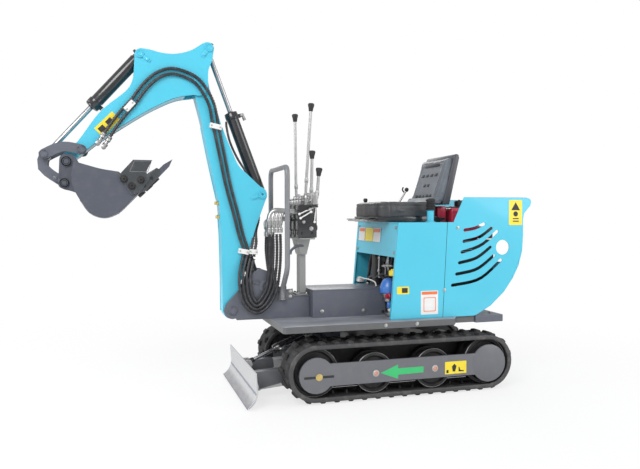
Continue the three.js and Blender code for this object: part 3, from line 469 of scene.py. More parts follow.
def tube(bm, points, radius, spacing=8, ribs=0.0, detail=3, smooth=True):
    line = smoothLine(points, spacing) if smooth else [Vector(point) for point in points]
    curve = bpy.data.curves.new("line", "CURVE")
    curve.dimensions = "3D"
    spline = curve.splines.new("POLY")
    spline.points.add(len(line) - 1)
    for number, (point, spot) in enumerate(zip(spline.points, line)):
        point.co = (*spot, 1)
        point.radius = 1 - ribs * (number % 2)
    curve.bevel_depth, curve.bevel_resolution, curve.use_fill_caps = radius, detail, True
    holder = show("line", curve)
    mesh = bpy.data.meshes.new_from_object(holder.evaluated_get(bpy.context.evaluated_depsgraph_get()))
    bm.from_mesh(mesh)
    bpy.data.objects.remove(holder)
    bpy.data.curves.remove(curve)
    bpy.data.meshes.remove(mesh)
    bmesh.ops.remove_doubles(bm, verts=bm.verts, dist=0.002)


def wire(bm, points, radius, detail=3):  # a straight-sided run
    tube(bm, points, radius, 8, 0, detail, False)


def bead(bm, points, radius=2.6, smooth=False):  # a weld seam, its ripples 4 mm apart
    line = smoothLine(points, 4.0) if smooth else []
    for a, b in () if smooth else zip(points, points[1:]):
        start, end = Vector(a), Vector(b)
        steps = max(1, round((end - start).length / 4.0))
        line += [start.lerp(end, k / steps) for k in range(steps)]
    tube(bm, line if smooth else line + [Vector(points[-1])], radius, 8, 0.28, 1, False)


def hexBolt(bm, centre, axis, size=8, height=6, washer=True):
    direction = Vector(axis).normalized()
    centre = Vector(centre)
    if washer:
        peg(bm, centre + direction * 0.8, axis, size * 1.45, 1.6, 24, 0.4)
    peg(bm, centre + direction * (1.4 + height / 2), axis, size * 1.08, height, 6, size * 0.13)
    peg(bm, centre + direction * (1.4 + height + 0.4), axis, size * 0.8, 1.2, 20, 0.5)


def roundBolt(bm, centre, axis, size=9, height=5):  # a domed head with a hex socket rim
    profile = [(0, height * 0.55), (size * 0.36, height * 0.55), (size * 0.42, height), (size * 0.62, height),
               (size * 0.86, height * 0.72), (size, height * 0.25), (size, -1), (0, -1)]
    turned(bm, profile, Vector(centre), Vector(axis).normalized(), 20)


def boltRow(name, bolts, size, height, finish=zinc, kind=hexBolt, body="house"):
    build(name, finish, [(kind, centre, axis, size, height) for centre, axis in bolts], body=body)


def facing(side, x, y, z):  # a spot on one side and the way out from it
    return (x, side * y, z), (0, side, 0)


def bothSides(y, spots):
    return [facing(side, x, y, z) for side in both for x, z in spots]


# ---- camera, light and floor ----
cameraSetup = {"place": (0.8933, 3.3863, 0.9155), "lens": 36.98,
               "yaw": 17.047, "pitch": 1.608, "roll": -0.103}
lampAim = (-0.1, 0, 0.7)
lamps = [  # name, place, size, power
    ("key", (2.6, 3.4, 3.6), 2.6, 133), ("fill", (-3.4, 3.0, 2.2), 3.0, 64.6),
    ("front", (4.2, -0.6, 1.8), 2.4, 60), ("back", (-1.0, -4.0, 3.2), 3.0, 53.2),
]


def makeStage():
    lens = bpy.data.cameras.new("camera")
    lens.lens, lens.sensor_width = cameraSetup["lens"], 36
    lens.clip_start, lens.clip_end = 0.05, 60
    camera = show("camera", lens)
    yaw, pitch, roll = (math.radians(cameraSetup[key]) for key in ("yaw", "pitch", "roll"))
    camera.matrix_world = (Matrix.Translation(cameraSetup["place"]) @ Matrix.Rotation(math.pi - yaw, 4, "Z")
                           @ Matrix.Rotation(math.pi / 2 - pitch, 4, "X") @ Matrix.Rotation(roll, 4, "Z"))
    bpy.context.scene.camera = camera
    for name, place, size, power in lamps:
        light = bpy.data.lights.new(name, "AREA")
        light.shape, light.size, light.energy = "DISK", size, power
        holder = show(name, light)
        holder.location = place
        holder.rotation_euler = (Vector(lampAim) - Vector(place)).to_track_quat("-Z", "Y").to_euler()
    sky = Finish("studio", bpy.data.worlds.new("studio"))
    bpy.context.scene.world = sky.material
    level = sky.add("ShaderNodeMapRange",
                    inputs={"Value": sky.add("ShaderNodeLightPath"), "To Min": 0.62, "To Max": 1.0})
    background = sky.tree.nodes["Background"].inputs
    sky.feed(background["Color"], (1, 1, 1, 1))
    sky.feed(background["Strength"], level)
    bm = bmesh.new()
    bmesh.ops.create_grid(bm, x_segments=1, y_segments=1, size=14)
    bmesh.ops.translate(bm, verts=bm.verts, vec=(0, 0, -0.0005))
    floor = show("floor", toMesh("floor", bm))
    f = Finish("paleFloor")
    f.close((0.86, 0.86, 0.86), 0.9, coatRoughness=0.03)
    distance = f.add("ShaderNodeVectorMath", {"operation": "LENGTH"}, {0: f.spot()}, "Value")
    fade = f.add("ShaderNodeMapRange", {"interpolation_type": "SMOOTHSTEP"},
                 {"Value": distance, "From Min": 1.0, "From Max": 3.2, "To Min": 0.72, "To Max": 1.0})
    share = f.add("ShaderNodeLightPath") * fade  # the camera sees the floor turn white far out
    glow = f.add("ShaderNodeEmission", inputs={"Strength": 1.0})
    seen = f.add("ShaderNodeMixShader", inputs={0: share, 1: Flow(f, f.shader.outputs[0]), 2: glow})
    f.feed(f.tree.nodes["Material Output"].inputs["Surface"], seen)
    floor.data.materials.append(f.material)
    bpy.context.scene.view_settings.view_transform = "Standard"


makeStage()
print("stage set")

# ---- plates that keep their solid's shape, with their edges rounded: node, finish, width ----
plates = [
    ("car_body", slatePaint, 3), ("slew_ring", castSteel, 2, "black_paint"), ("blade", blade, 2),
    ("deck", deckPaint, 3), ("counterweight", slatePaint, 4), ("boom_bracket", slatePaint, 2.5),
    ("centre_cover", slatePaint, 3), ("cabinet_left", bluePaint, 1), ("cabinet_right", bluePaint, 1),
    ("cabinet_front", bluePaint, 1), ("cabinet_top", bluePaint, 1), ("tail_left", bluePaint, 1),
    ("tail_right", bluePaint, 1), ("rear_guard", bluePaint, 1), ("boom", bluePaint, 2.2),
    ("arm", bluePaint, 2.2), ("rocker_left", slatePaint, 2), ("rocker_right", slatePaint, 2),
    ("bucket_link", slatePaint, 2), ("track_frame_left", barPaint, 2.5), ("track_frame_right", barPaint, 2.5),
]
for row in plates:
    fromNode(*row)
print("plates rounded")

# ---- tracks ----
trackShape = {"wheelX": 470, "wheelZ": 150, "radius": 138, "middle": 275, "pitches": 38, "lug": 11.4,
              "outerLug": (26, 78), "innerLug": (-78, -8), "guide": 19, "frameFace": 362}
beltPitch = (4 * trackShape["wheelX"] + math.tau * trackShape["radius"]) / trackShape["pitches"]
beltSection = [(-86, 13), (-86, 26), (-74, 26), (-60, 25.5), (60, 25.5), (74, 26), (86, 26), (86, 13),
               (40, 12.6), (-40, 12.6)]


def loopPlace(distance, middle):  # X along the belt, Z out of it
    reach, height, radius = trackShape["wheelX"], trackShape["wheelZ"], trackShape["radius"]
    arc = math.pi * radius
    distance %= 4 * reach + 2 * arc
    if distance < 2 * reach:
        x, angle = distance - reach, -math.pi / 2
    elif distance < 2 * reach + arc:
        x, angle = reach, (distance - 2 * reach) / radius - math.pi / 2
    elif distance < 4 * reach + arc:
        x, angle = 3 * reach + arc - distance, math.pi / 2
    else:
        x, angle = -reach, (distance - 4 * reach - arc) / radius + math.pi / 2
    outwards = Vector((math.cos(angle), 0, math.sin(angle)))
    along = Vector((-math.sin(angle), 0, math.cos(angle)))
    axes = Matrix((along, outwards.cross(along), outwards)).transposed().to_4x4()
    return Matrix.Translation(Vector((x, middle, height)) + outwards * radius) @ axes


def lugShape(side):
    bm = bmesh.new()
    for shift, width in ((0, trackShape["outerLug"]), (0.5, trackShape["innerLug"])):
        x, (y0, y1) = shift * beltPitch, span(-side, *width)
        verts = block(bm, x - 17, x + 17, y0, y1, -3, trackShape["lug"])
        for vert in verts:
            if vert.co.z > 0:
                vert.co.x = x + (vert.co.x - x) * 0.66
                vert.co.y = (y0 + y1) / 2 + (vert.co.y - (y0 + y1) / 2) * 0.9
        roundEdges(bm, verts, 2.6, 1)
    verts = block(bm, -9, 9, -11, 11, -12 - trackShape["guide"], -10)
    for vert in verts:
        if vert.co.z < -20:
            vert.co.x *= 0.5
            vert.co.y *= 0.6
    roundEdges(bm, verts, 2, 1)
    return toMesh("lug", bm)


def lugRow(bm, side, middle):
    lug = lugShape(side)
    for number in range(trackShape["pitches"]):
        copy = lug.copy()
        copy.transform(loopPlace((number + 0.5) * beltPitch, middle))
        bm.from_mesh(copy)
        bpy.data.meshes.remove(copy)
    for vert in bm.verts:  # nothing goes under the floor
        vert.co.z = max(vert.co.z, 0.3)


def loopSolid(bm, section, middle):  # a section of (y, z) taken round both wheels
    reach, height = trackShape["wheelX"], trackShape["wheelZ"]
    verts = [bm.verts.new((reach, middle + y, z)) for y, z in section]
    edges = [bm.edges.new((a, b)) for a, b in zip(verts, verts[1:] + verts[:1])]
    for centre, move in ((reach, -2 * reach), (-reach, 2 * reach)):
        last = bmesh.ops.spin(bm, geom=verts + edges, cent=(centre, 0, height), axis=(0, -1, 0),
                              angle=math.pi, steps=26)["geom_last"]
        edges = [item for item in last if isinstance(item, bmesh.types.BMEdge)]
        grown = bmesh.ops.extrude_edge_only(bm, edges=edges)["geom"]
        verts = [item for item in grown if isinstance(item, bmesh.types.BMVert)]
        edges = [item for item in grown if isinstance(item, bmesh.types.BMEdge)]
        bmesh.ops.translate(bm, verts=verts, vec=(move, 0, 0))
    bmesh.ops.remove_doubles(bm, verts=bm.verts, dist=0.02)


def makeTrack(label, side):
    middle = side * trackShape["middle"]
    build(f"trackBelt_{label}", track, (loopSolid, beltSection, middle), smooth=50,
          replaces=[f"track_{label}"], bevel=(1.5, 2), **onTrack)
    bands = [(loopSolid, [(y - 6, 11), (y + 5, 11), (y + 7, 14), (y + 7, 28), (y + 5, 32), (y, 33),
                          (y - 5, 32), (y - 7, 28), (y - 7, 14)], middle) for y in (-83, 83)]
    build(f"trackBands_{label}", trackEdge, *bands, smooth=60, **onTrack)
    build(f"trackLugs_{label}", track, (lugRow, side, middle), smooth=30, **onTrack)


wheelShape = {"width": 100, "groove": 17}
wheels = [("idler", 470, 150, 121), ("sprocket", -470, 150, 121),
          ("roller_front", 158, 129, 101), ("roller_rear", -168, 129, 101)]


def makeWheel(name, x, z, radius, side, middle):
    half, rim = wheelShape["width"] / 2, radius - 15
    place = (x, middle, z), (0, side, 0)
    inner = [(15, -half + 4), (34, -half + 4), (38, -half + 12), (rim - 8, -half + 12), (rim, -half),
             (radius - 3, -half), (radius, -half + 3), (radius, -20), (radius - 18, -wheelShape["groove"])]
    profile = inner + [(reach, -along) for reach, along in reversed(inner)] + inner[:1]
    build(name + "Turned", dullBlack, (turned, profile, *place, 48), replaces=[name], **onTrack)
    edge = [(radius - 4, half - 0.5), (radius - 1.5, half + 0.8), (radius + 0.8, half - 1),
            (radius + 0.8, half - 4), (radius - 4, half - 4), (radius - 4, half - 0.5)]
    build(name + "Rim", castSteel, (turned, edge, *place, 64), slot="black_paint", **onTrack)


def makeTrackFrame(label, side):
    face = trackShape["frameFace"]
    out = (0, side, 0)
    # painted shade: a black sheet inside the track loop stands for the shade there, so nothing shows through
    # between the rollers
    quarters = ((1, 1, range(7)), (-1, 1, range(6, -1, -1)), (-1, -1, range(1, 7)), (1, -1, range(6, 0, -1)))
    shield = [(sign * (470 + 112 * math.cos(k * math.pi / 12)), 150 + 112 * math.sin(k * math.pi / 12) * turn)
              for sign, turn, steps in quarters for k in steps]
    build(f"innerShadeSheet_{label}", dullBlack, (plate, shield, *span(side, 201, 205)), **onTrack)
    spots = [(x, side * face, z) for x, z in ((163, 134), (-161, 136))]
    washer = [(12, 0), (17, 0), (17, 1.2), (12, 1.2), (12, 0)]
    build(f"rollerBolts_{label}", zinc, [[(roundBolt, spot, out, 12, 3.2), (turned, washer, spot, out, 24)]
                                         for spot in spots], **onTrack)
    mark = [(4, 2.4), (10, 3.4), (10, 3.7), (4, 2.8), (4, 2.4)]
    build(f"boltMarks_{label}", orangeSheet, [(turned, mark, spot, out, 20) for spot in spots], **onTrack)
    build(f"tensionBolt_{label}", goldZinc, (hexBolt, *facing(side, 458, face, 134), 12, 1.4),
          slot="slate_paint", **onTrack)
    disc = [(0, 0.9), (96, 0.9), (97.5, 0), (97.5, -9), (0, -9)]
    build(f"rearDisc_{label}", barPaint, (turned, disc, *facing(side, -474, face, 142), 72), **onTrack)
    # painted shade: the tension slots are flat black sheets that stand for the shade inside the slots
    for name, start, end in (("Rear", 382, 440), ("Front", 476, 534)):
        build(f"tensionSlotShade{name}_{label}", dullBlack,
              (sheet, oblong(start, end, 128, 140), face - 0.1, side, 0.2, 3), **onTrack)
    arrow = [(138, 133), (44, 98), (44, 118), (-96, 120), (-96, 150), (44, 150), (44, 169)]
    build(f"forwardArrow_{label}", greenSheet, (sheet, arrow, face, side, 0.3, 1), **onTrack)
    build(f"frameTag_{label}", yellowSheet, (sheet, oblong(-218, -341, 100, 164), face, side), **onTrack)
    figures = ([(-262, 112), (-276, 112), (-284, 140), (-272, 152), (-258, 138)],
               [(-296, 110), (-326, 110), (-326, 115), (-306, 118), (-300, 134), (-296, 134)],
               oblong(-226, -238, 106, 122))
    depths = span(side, face + 0.35, face + 0.8)
    build(f"tagFigure_{label}", dullBlack, [(plate, figure, *depths) for figure in figures], **onTrack)


for label, side in sides.items():
    makeTrack(label, side)
    for name, x, z, radius in wheels:
        makeWheel(f"{name}_{label}", x, z, radius, side, side * trackShape["middle"])
    makeTrackFrame(label, side)
print("tracks made")


# ---- cylinders ----
def makeRam(home, base, eye, size, ports=()):
    start, end = Vector((base[0], 0, base[1])), Vector((eye[0], 0, eye[1]))
    axis = (end - start).normalized()
    reach = (end - start).length
    radius, rod, length, eyeRadius, pin, half, gland = (
        size[key] for key in ("radius", "rod", "barrel", "eye", "pin", "half", "gland"))
    name = home + "_cylinder"
    onBarrel, onRod = {"body": home + "_barrel"}, {"body": home + "_rod"}
    tubeProfile = [
        (0, eyeRadius * 0.5), (radius * 0.72, eyeRadius * 0.5), (radius * 0.86, eyeRadius * 0.7),
        (radius, eyeRadius * 0.95), (radius + 1.2, eyeRadius * 1.05), (radius, eyeRadius * 1.15),
        (radius, length - 40), (radius + 0.4, length - 39), (radius + gland, length - 36),
        (radius + gland, length - 12), (radius + gland - 1.5, length - 10),
        (radius + gland - 1.5, length - 3),
        (radius - 3, length), (rod + 4, length), (rod + 4, length - 3), (rod + 0.8, length - 3),
        (rod + 0.8, eyeRadius * 1.6), (0, eyeRadius * 1.6)]
    spots = [(start + axis * along, Vector((-axis.z * lift, aside, axis.x * lift)))
             for along, lift, aside in ports]
    build(name + "BarrelTube", blackPaint, (turned, tubeProfile, start, axis, 40),
          (turned, collar(pin, eyeRadius, half, 2), start, across, 32),
          [(peg, spot + out * (radius + 4), out, 11, 14, 20, 1) for spot, out in spots],
          replaces=[name + "_barrel"], **onBarrel)
    build(name + "BasePin", castSteel,
          (turned, drum(pin - 0.6, 0, 2 * half - 2), start + Vector((0, 1 - half, 0)), across, 24),
          **onBarrel)
    if ports:
        build(name + "PortFittings", silver, [[(peg, spot + out * (radius + 14), out, 9.5, 9, 6, 1),
            (peg, spot + out * (radius + 23), out, 8, 12, 20, 1),
            (peg, spot + out * (radius + 26) - axis * 6, axis, 7, 20, 20, 1),
            (peg, spot + out * (radius + 26) - axis * 22, axis, 8.5, 16, 6, 1)] for spot, out in spots],
            **onBarrel)
    first, last = reach - size["rodLength"], reach - eyeRadius * 0.55
    build(name + "RodShaft", rodFinish, (turned, [(0, first), (rod - 1, first), (rod, first + 2), (rod, last),
                                                  (0, last)], start, axis, 36),
          replaces=[name + "_rod"], **onRod)
    neck = reach - eyeRadius
    build(name + "RodEye", blackPaint, (turned, collar(pin, eyeRadius, size["eyeHalf"], 3), end, across, 32),
          (turned, [(rod + 0.2, neck - 14), (rod + 3.5, neck - 12), (rod + 5, neck + 2),
                    (rod + 5, reach - eyeRadius * 0.7), (rod + 0.2, reach - eyeRadius * 0.7),
                    (rod + 0.2, neck - 14)], start, axis, 28),
          (turned, drum(pin - 0.6, -size["pinHalf"], size["pinHalf"]), end, across, 24), **onRod)
    wiper = [(rod + 0.25, length - 4), (rod + 3.4, length - 4), (rod + 3.4, length + 2),
             (rod + 1.2, length + 3.2), (rod + 0.25, length + 1), (rod + 0.25, length - 4)]
    build(name + "Wiper", hose, (turned, wiper, start, axis, 28), **onBarrel)


bigRam = {"radius": 31, "rod": 12.5, "eye": 26, "pin": 13, "eyeHalf": 18}
smallRam = {"radius": 22, "rod": 10, "eye": 17, "pin": 8, "eyeHalf": 20}
makeRam("boom", (700, 190), (858, 675),
        {**bigRam, "barrel": 430, "gland": 1, "half": 51, "rodLength": 410, "pinHalf": 36})
makeRam("arm", (-160, 592), (111, 1322),
        {**bigRam, "barrel": 450, "gland": 4, "half": 36, "rodLength": 392, "pinHalf": 37}, [(420, 1, 0)])
makeRam("bucket", (288, 117), (725, -381),
        {**bigRam, "barrel": 345, "gland": 4, "half": 37, "rodLength": 358, "pinHalf": 20}, [(318, -1, 0)])
makeRam("blade", (375, 302.5), (735, 152),
        {**smallRam, "barrel": 245, "gland": 4, "half": 26, "rodLength": 190, "pinHalf": 23},
        [(60, 0, 1), (215, 0, 1)])
print("cylinders made")


# ---- pins, tabs and their bolts ----
def pinHead(bm, x, z, y, side, radius, rise):
    turned(bm, [(0, rise - 3), (radius * 0.30, rise - 3), (radius * 0.34, rise - 1.5), (radius * 0.5, rise),
                (radius * 0.60, rise), (radius * 0.66, rise - 2.5), (radius * 0.72, rise - 2.5),
                (radius * 0.76, rise), (radius * 0.94, rise), (radius, rise - 2), (radius, 0.5),
                (radius + 3, -1), (0, -1)], *facing(side, x, y, z), 32)


def tabSpot(x, y, z, length, angle, share):
    return Vector((x, y, z)) + Matrix.Rotation(-angle, 3, "Y") @ Vector((length * share, 0, 0))


def keeperTab(bm, x, z, y, side, length, angle):
    spot = tabSpot(x, 0, z, length, angle, 0.62)
    block(bm, spot.x - length * 0.5, spot.x + length * 0.5, *span(side, y - 0.5, y + 5),
          spot.z - 8, spot.z + 8, 2, 2, Matrix.Rotation(-angle, 4, "Y"))


heads = {  # body, finish, pins (x, z, y, radius, rise), tabs (x, z, y, length, angle)
    "boom": ("boom", bluePaint, [(-160, 592, 45, 22, 11)], [(-160, 592, 46, 56, -0.35)]),
    "arm": ("arm", bluePaint, [(288, 117, 59, 20, 10), (-47, 169, 59, 20, 10), (0, 0, 59.5, 24, 5)],
            [(288, 117, 60, 54, 3.75), (-47, 169, 60, 52, -0.95)]),
    "rocker": ("rocker", slatePaint, [(558, -355, 75, 19, 9), (725, -381, 75, 19, 9)], []),
    "bucket": ("bucket", slatePaint, [(0, 0, 61, 24, 10), (10, -102, 61, 22, 10)], [(10, -102, 62, 50, 0.5)]),
    "bracket": ("house", slatePaint, [(827, 50, 65, 22, 11), (700, 190, 65.5, 15, 4)], []),
}
for name, (body, finish, pins, tabs) in heads.items():
    build(name + "PinHeads", finish, [
        [(pinHead, x, z, y, side, *rest) for x, z, y, *rest in pins]
        + [(keeperTab, x, z, y, side, *rest) for x, z, y, *rest in tabs] for side in both], body=body)
    if tabs:
        build(name + "TabBolts", finish, [
            (hexBolt, tabSpot(x, side * (y + 4.5), z, length, angle, 0.84), (0, side, 0), 6.5, 4)
            for side in both for x, z, y, length, angle in tabs], body=body)
print("pins made")

# ---- cover, bracket and deck ----
build("coverLid", slatePaint, (block, -39, 419, -119.5, 119.5, 139, 146.5, 2, 2))
boltRow("coverBolts", bothSides(118, ((368, 32), (136, 27))), 7.5, 5)
build("coverPlugs", dullBlack, [(turned, [(0, 1.5), (5, 1.5), (8, 0.8), (9, -0.5), (0, -0.5)],
                                 *facing(side, 25, 118, 17), 20) for side in both])
build("floorWelds", slatePaint, [[(bead, [(421, side * 67, 2), (805, side * 67, 2)], 3),
    (bead, [(-40, side * 119, 2), (418, side * 119, 2)], 2.2),
    (bead, [(421, side * 66.5, 110), (556, side * 66.5, 110)], 2.4)] for side in both],
    (bead, [(419.5, -66, 112), (419.5, 66, 112)], 2.2), smooth=60)
boltRow("bracketBolts", bothSides(66, ((625, 153), (717, 192))), 6.5, 5, slatePaint)
ringProfile = [(14, -1), (32, -1), (32, 2.4), (30.5, 3.4), (15.5, 3.4), (14, 2.4), (14, -1)]
build("bracketRings", slatePaint, [[(turned, ringProfile, *facing(side, 655, 66, 168), 40),
    (turned, [(0, 2), (12, 2), (13.5, -1), (0, -1)], *facing(side, 655, 66, 168), 32)] for side in both])
footPlate = [(512, 100), (590, 92), (590, 122), (556, 150), (512, 152)]
build("railFootPlates", barPaint, [(plate, footPlate, *span(side, 66.2, 71), 1.5, 2) for side in both])
boltRow("railFootBolts", bothSides(71, ((527, 139), (527, 112))), 6, 4.5)
boltRow("deckEdgeBolts", bothSides(350, ((105, -17), (-66, -17))), 6.5, 4)
boltRow("deckTopBolts", [((x, side * 232, 0), upward) for side in both for x in (-468, -560)], 8, 5)
build("slewSeal", hose, (turned, [(150, -63), (176, -63), (179, -59), (176, -55), (179, -51), (176, -47),
                                  (176, -39), (150, -39), (150, -63)], (0, 0, 0), upward, 64))


# ---- cabinet and tail ----
def leanAt(z):  # where the leaning front face is at a height
    return 57 - (57 - 13) * z / 497


flange = [(leanAt(2), 2), (leanAt(2) - 4, 2), (leanAt(494) - 4, 494), (leanAt(494), 494)]
build("cabinetFlanges", bluePaint, [(plate, flange, *span(side, 279, 297), 1.2, 2) for side in both])
seam = [(-236.2, 1), (-237.8, 1), (-263.8, 496), (-262.2, 496)]
build("tailSeams", dullBlack, [(plate, seam, *span(side, 297, 300.4)) for side in both])
boltRow("cabinetBolts", bothSides(300, ((-323, 468), (-246, 143))), 6, 4)
tailEdge = [(-303, 499), (-361, 626), (-738, 626), (-758, 619), (-766, 602), (-760, 584), (-742, 566),
            (-724, 546), (-716, 514), (-717, 426), (-711, 340), (-690, 262), (-655, 196), (-600, 122),
            (-520, 52), (-430, 4)]
build("tailHems", bluePaint, [(wire, [(x, side * 297, z) for x, z in tailEdge], 3.3, 2) for side in both],
      smooth=70)
tags = [  # name, finish, outline, thickness
    ("lift", yellowSheet, oblong(23, -44, 129, 168), 0.3),
    ("fluid", whitePlastic, oblong(-111, -209, 19, 142), 0.3),
    ("fluidHead", orangeSheet, oblong(-115, -205, 122, 138), 0.5),
    ("fluidBox", orangeSheet, oblong(-126, -196, 34, 108), 0.5),
    ("fluidFill", whitePlastic, oblong(-130, -192, 38, 104), 0.7),
    ("rear", yellowSheet, oblong(-630, -711, 480, 615), 0.3),
]
tagMarks = ([(-671, 604), (-698, 560), (-644, 560)], oblong(-654, -690, 498, 504),
            oblong(-654, -690, 512, 518), oblong(-4, -36, 136, 161))
for label, side in sides.items():
    for name, finish, outline, rise in tags:
        build(f"{name}Tag_{label}", finish, (sheet, outline, 300, side, rise, 4))
    build(f"tagMarks_{label}", dullBlack, [(plate, mark, *span(side, 300.4, 300.9)) for mark in tagMarks],
          (turned, [(0, 0.9), (14, 0.9), (14, 0), (0, 0)], *facing(side, -671, 300.3, 540), 24))
frontTurn = Matrix.Rotation(math.radians(-5.05), 4, "Y")


def frontPlate(height, y0, y1, z0, z1, near, far, bevel):  # a sheet on the leaning front
    x = leanAt(height)
    return block, x + near, x + far, y0, y1, z0, z1, bevel, 1, frontTurn


build("frontPlatesPale", whitePlastic, [frontPlate(426, y0, y1, 388, 464, -0.4, 1.4, 0.5)
                                         for y0, y1 in ((-262, -164), (-34, 69))])
build("frontPlateHeads", orangeSheet, [frontPlate(450, y0, y1, 441, 460, 0.8, 1.9, 0.3)
                                        for y0, y1 in ((-256, -170), (-28, 63))])
build("frontPlateYellow", yellowSheet, frontPlate(426, -158, -40, 388, 464, -0.4, 1.4, 0.5))
boltRow("frontPanelBolts",
        [((leanAt(z) - 0.5, y, z), (1, 0, 0.09)) for y in (-270, 270) for z in (340, 470)], 6, 4)
print("cabinet made")


# ---- what shows inside the cabinet ----
build("filterCanister", bluePlastic,
      (turned, [(0, 118), (40, 118), (46, 122), (48, 130), (46, 150), (40, 170), (30, 188), (18, 198),
                (0, 200)],
       (4, 144, 0), upward, 48),
      (turned, [(0, 44), (15, 44), (17, 47), (17, 72), (15, 75), (0, 75)], (10, 178, 0), upward, 6),
      replaces=["oil_filter"])
build("filterHead", silver,
      (turned, [(0, 74), (24, 74), (28, 77), (28, 92), (36, 96), (38, 100), (38, 118), (0, 118)],
       (4, 148, 0), upward, 40),
      (turned, [(0, 2), (26, 2), (28, 5), (28, 20), (14, 24), (14, 44), (0, 44)], (8, 178, 0), upward, 36))
build("fillerCap", yellowSheet, (turned, [(0, 216), (20, 216), (23, 219), (23, 240), (20, 244), (12, 246),
                                          (12, 251), (0, 251)], (4, 206, 0), upward, 20))
build("redCoupling", redPaint, (turned, [(0, -16), (12, -16), (15, -12), (16, -4), (16, 6), (11, 10),
                                         (11, 18),
                                         (0, 18)], (18, 184, 108), (1, 0.3, 0), 28))
whiteLead = [(14, -300, 166), (16, -250, 170), (18, -186, 168), (20, -90, 170), (22, -8, 164), (24, 14, 152),
             (24, 25, 130)]
build("whiteConnectors", whitePlastic, (block, -6, 30, -300, -236, 142, 158, 3, 2),
      (block, -2, 26, -282, -250, 158, 168, 2, 2), (peg, (14, 190, 33), across, 9, 30, 24, 2),
      (tube, whiteLead, 4, 7, 0, 2), smooth=50)
darkLead = [(8, -60, 150), (12, -50, 179), (14, 10, 196), (14, 60, 212), (12, 110, 216), (10, 150, 210)]
build("sensorLead", hose, (tube, darkLead, 3, 7, 0, 2), smooth=60)
# painted shade: the post is black to stand for the inner panel's edge in shadow and the dark space beyond it
build("innerPostShade", dullBlack, (block, -20, 14, -76, -22, 2, 316, 4, 2))
pipeRuns = (
    [(10, 30, 190), (12, 30, 230), (10, 30, 300), (2, 32, 360)],
    [(8, 70, 258), (12, 110, 262), (14, 160, 266), (10, 214, 268)],
    [(2, 140, 240), (4, 141, 290), (0, 140, 360)],
    [(2, 251, 250), (6, 251, 290), (2, 250, 350)],
    [(-30, 40, 4), (-26, 42, 120), (-22, 46, 250), (-60, 50, 400)],
)
build("silverPipes", silver, [[(tube, run, 5.5, 7, 0.06, 2), (peg, run[1], (0, 0.1, 1), 9, 14, 6, 1),
    (peg, run[-2], (0, 0.1, 1), 9, 14, 6, 1)] for run in pipeRuns], smooth=60)
innerRuns = (
    [(-24, -215, 3), (-10, -216, 60), (2, -190, 130), (6, -120, 180), (0, -20, 196), (-8, 60, 190),
     (-20, 96, 150)],
    [(-36, -240, 3), (-30, -240, 120), (-30, -214, 250), (-40, -170, 360), (-60, -150, 440)],
    [(-10, 230, 4), (4, 244, 70), (2, 262, 160), (-10, 240, 240), (-30, 204, 290), (-50, 196, 360)],
    [(-40, 60, 4), (-30, 66, 100), (-30, 84, 220), (-46, 96, 330), (-70, 90, 430)],
    [(-24, -130, 4), (-16, -132, 90), (-20, -150, 200), (-44, -160, 320), (-70, -158, 430)],
)
build("innerHoses", hose, [(tube, run, 9, 6, 0.05) for run in innerRuns], smooth=70)
build("pumpBlocksAndShadeFill", dullBlack,
      [[(block, -46, 12, y0, y1, 2, z1, 5, 2),
        (peg, (-18, y0 + 14, z1 + 8), upward, 8, 18, 6, 1),
        (peg, (-18, y1 - 14, z1 + 8), upward, 8, 18, 6, 1)]
       for y0, y1, z1 in ((-20, 60, 76), (80, 128, 98), (-190, -130, 120))],
      # the first block on this line is a black box in front of the tank; the two tall black blocks and the
      # row of slats are painted shade, standing for the shaded partition and the dark space behind it
      (block, -60, -8, 96, 288, 206, 246, 6, 2), (block, -120, -64, -286, -60, 2, 300, 8, 3),
      (block, -180, -64, -40, 70, 2, 280, 8, 3),
      [(block, -66, -58, y, y + 12, 30, 270, 1.5, 1) for y in range(-276, -70, 22)])
build("innerFittings", zinc,
      [[(peg, (4, y, z), upward, 9.5, 12, 6, 1), (peg, (4, y, z + 11), upward, 7.5, 14, 20, 1)]
       for y, z in ((-160, 130), (20, 84), (44, 84), (104, 104))])

# ---- engine and tanks ----
fromNode("engine", dullBlack, 10, None, 3, "engineBlock")
build("engineFins", castSteel, [(block, -470, -300, y, y + 10, z, z + 5, 1, 1)
                                 for z in range(300, 399, 11) for y in (186, -196)])
cowl = [(0, 34), (26, 34), (30, 31), (34, 26), (70, 26), (84, 20), (92, 8), (92, -6), (0, -6)]
build("fanCowl", redPaint, (turned, cowl, (-609, 0, 304), (-1, 0, 0.02), 48))


# painted shade: black blocks in the cowl's face stand for the shade inside its slots
def cowlSlotShade(angle):
    y, z = 52 * math.sin(angle), 304 + 52 * math.cos(angle)
    return block, -637.5, -633.5, y - 3, y + 3, z - 11, z + 11, 1, 1, Matrix.Rotation(-angle, 4, "X")


build("cowlSlotShades", dullBlack, [cowlSlotShade(k * math.tau / 18) for k in range(18)])
muffler = [(0, -86), (34, -86), (42, -80), (44, -72), (42, -66)]
build("muffler", castSteel,
      (turned, muffler + [(reach, -along) for reach, along in reversed(muffler)],
       (-606, -96, 446), across, 40),
      (tube, [(-606, -150, 480), (-606, -150, 520), (-620, -150, 560), (-650, -150, 580)], 12),
      (tube, [(-560, -60, 446), (-520, -60, 440), (-500, -60, 396)], 14), smooth=45)
build("airCleaner", blackPlastic, (block, -360, -286, -150, 140, 399, 470, 14, 3),
      (turned, [(0, 6), (30, 6), (36, 0), (36, -18), (0, -18)], (-322, -60, 488), upward, 32),
      (block, -640, -556, 40, 130, 402, 470, 10, 3))
fromNode("fuel_tank", redPaint, 18, None, 4, "fuelTankShell")
tankOutline = [(-541, -112), (-541, 132), (-522, 151), (-384, 151), (-365, 132), (-365, -112), (-384, -131),
               (-522, -131), (-541, -112)]
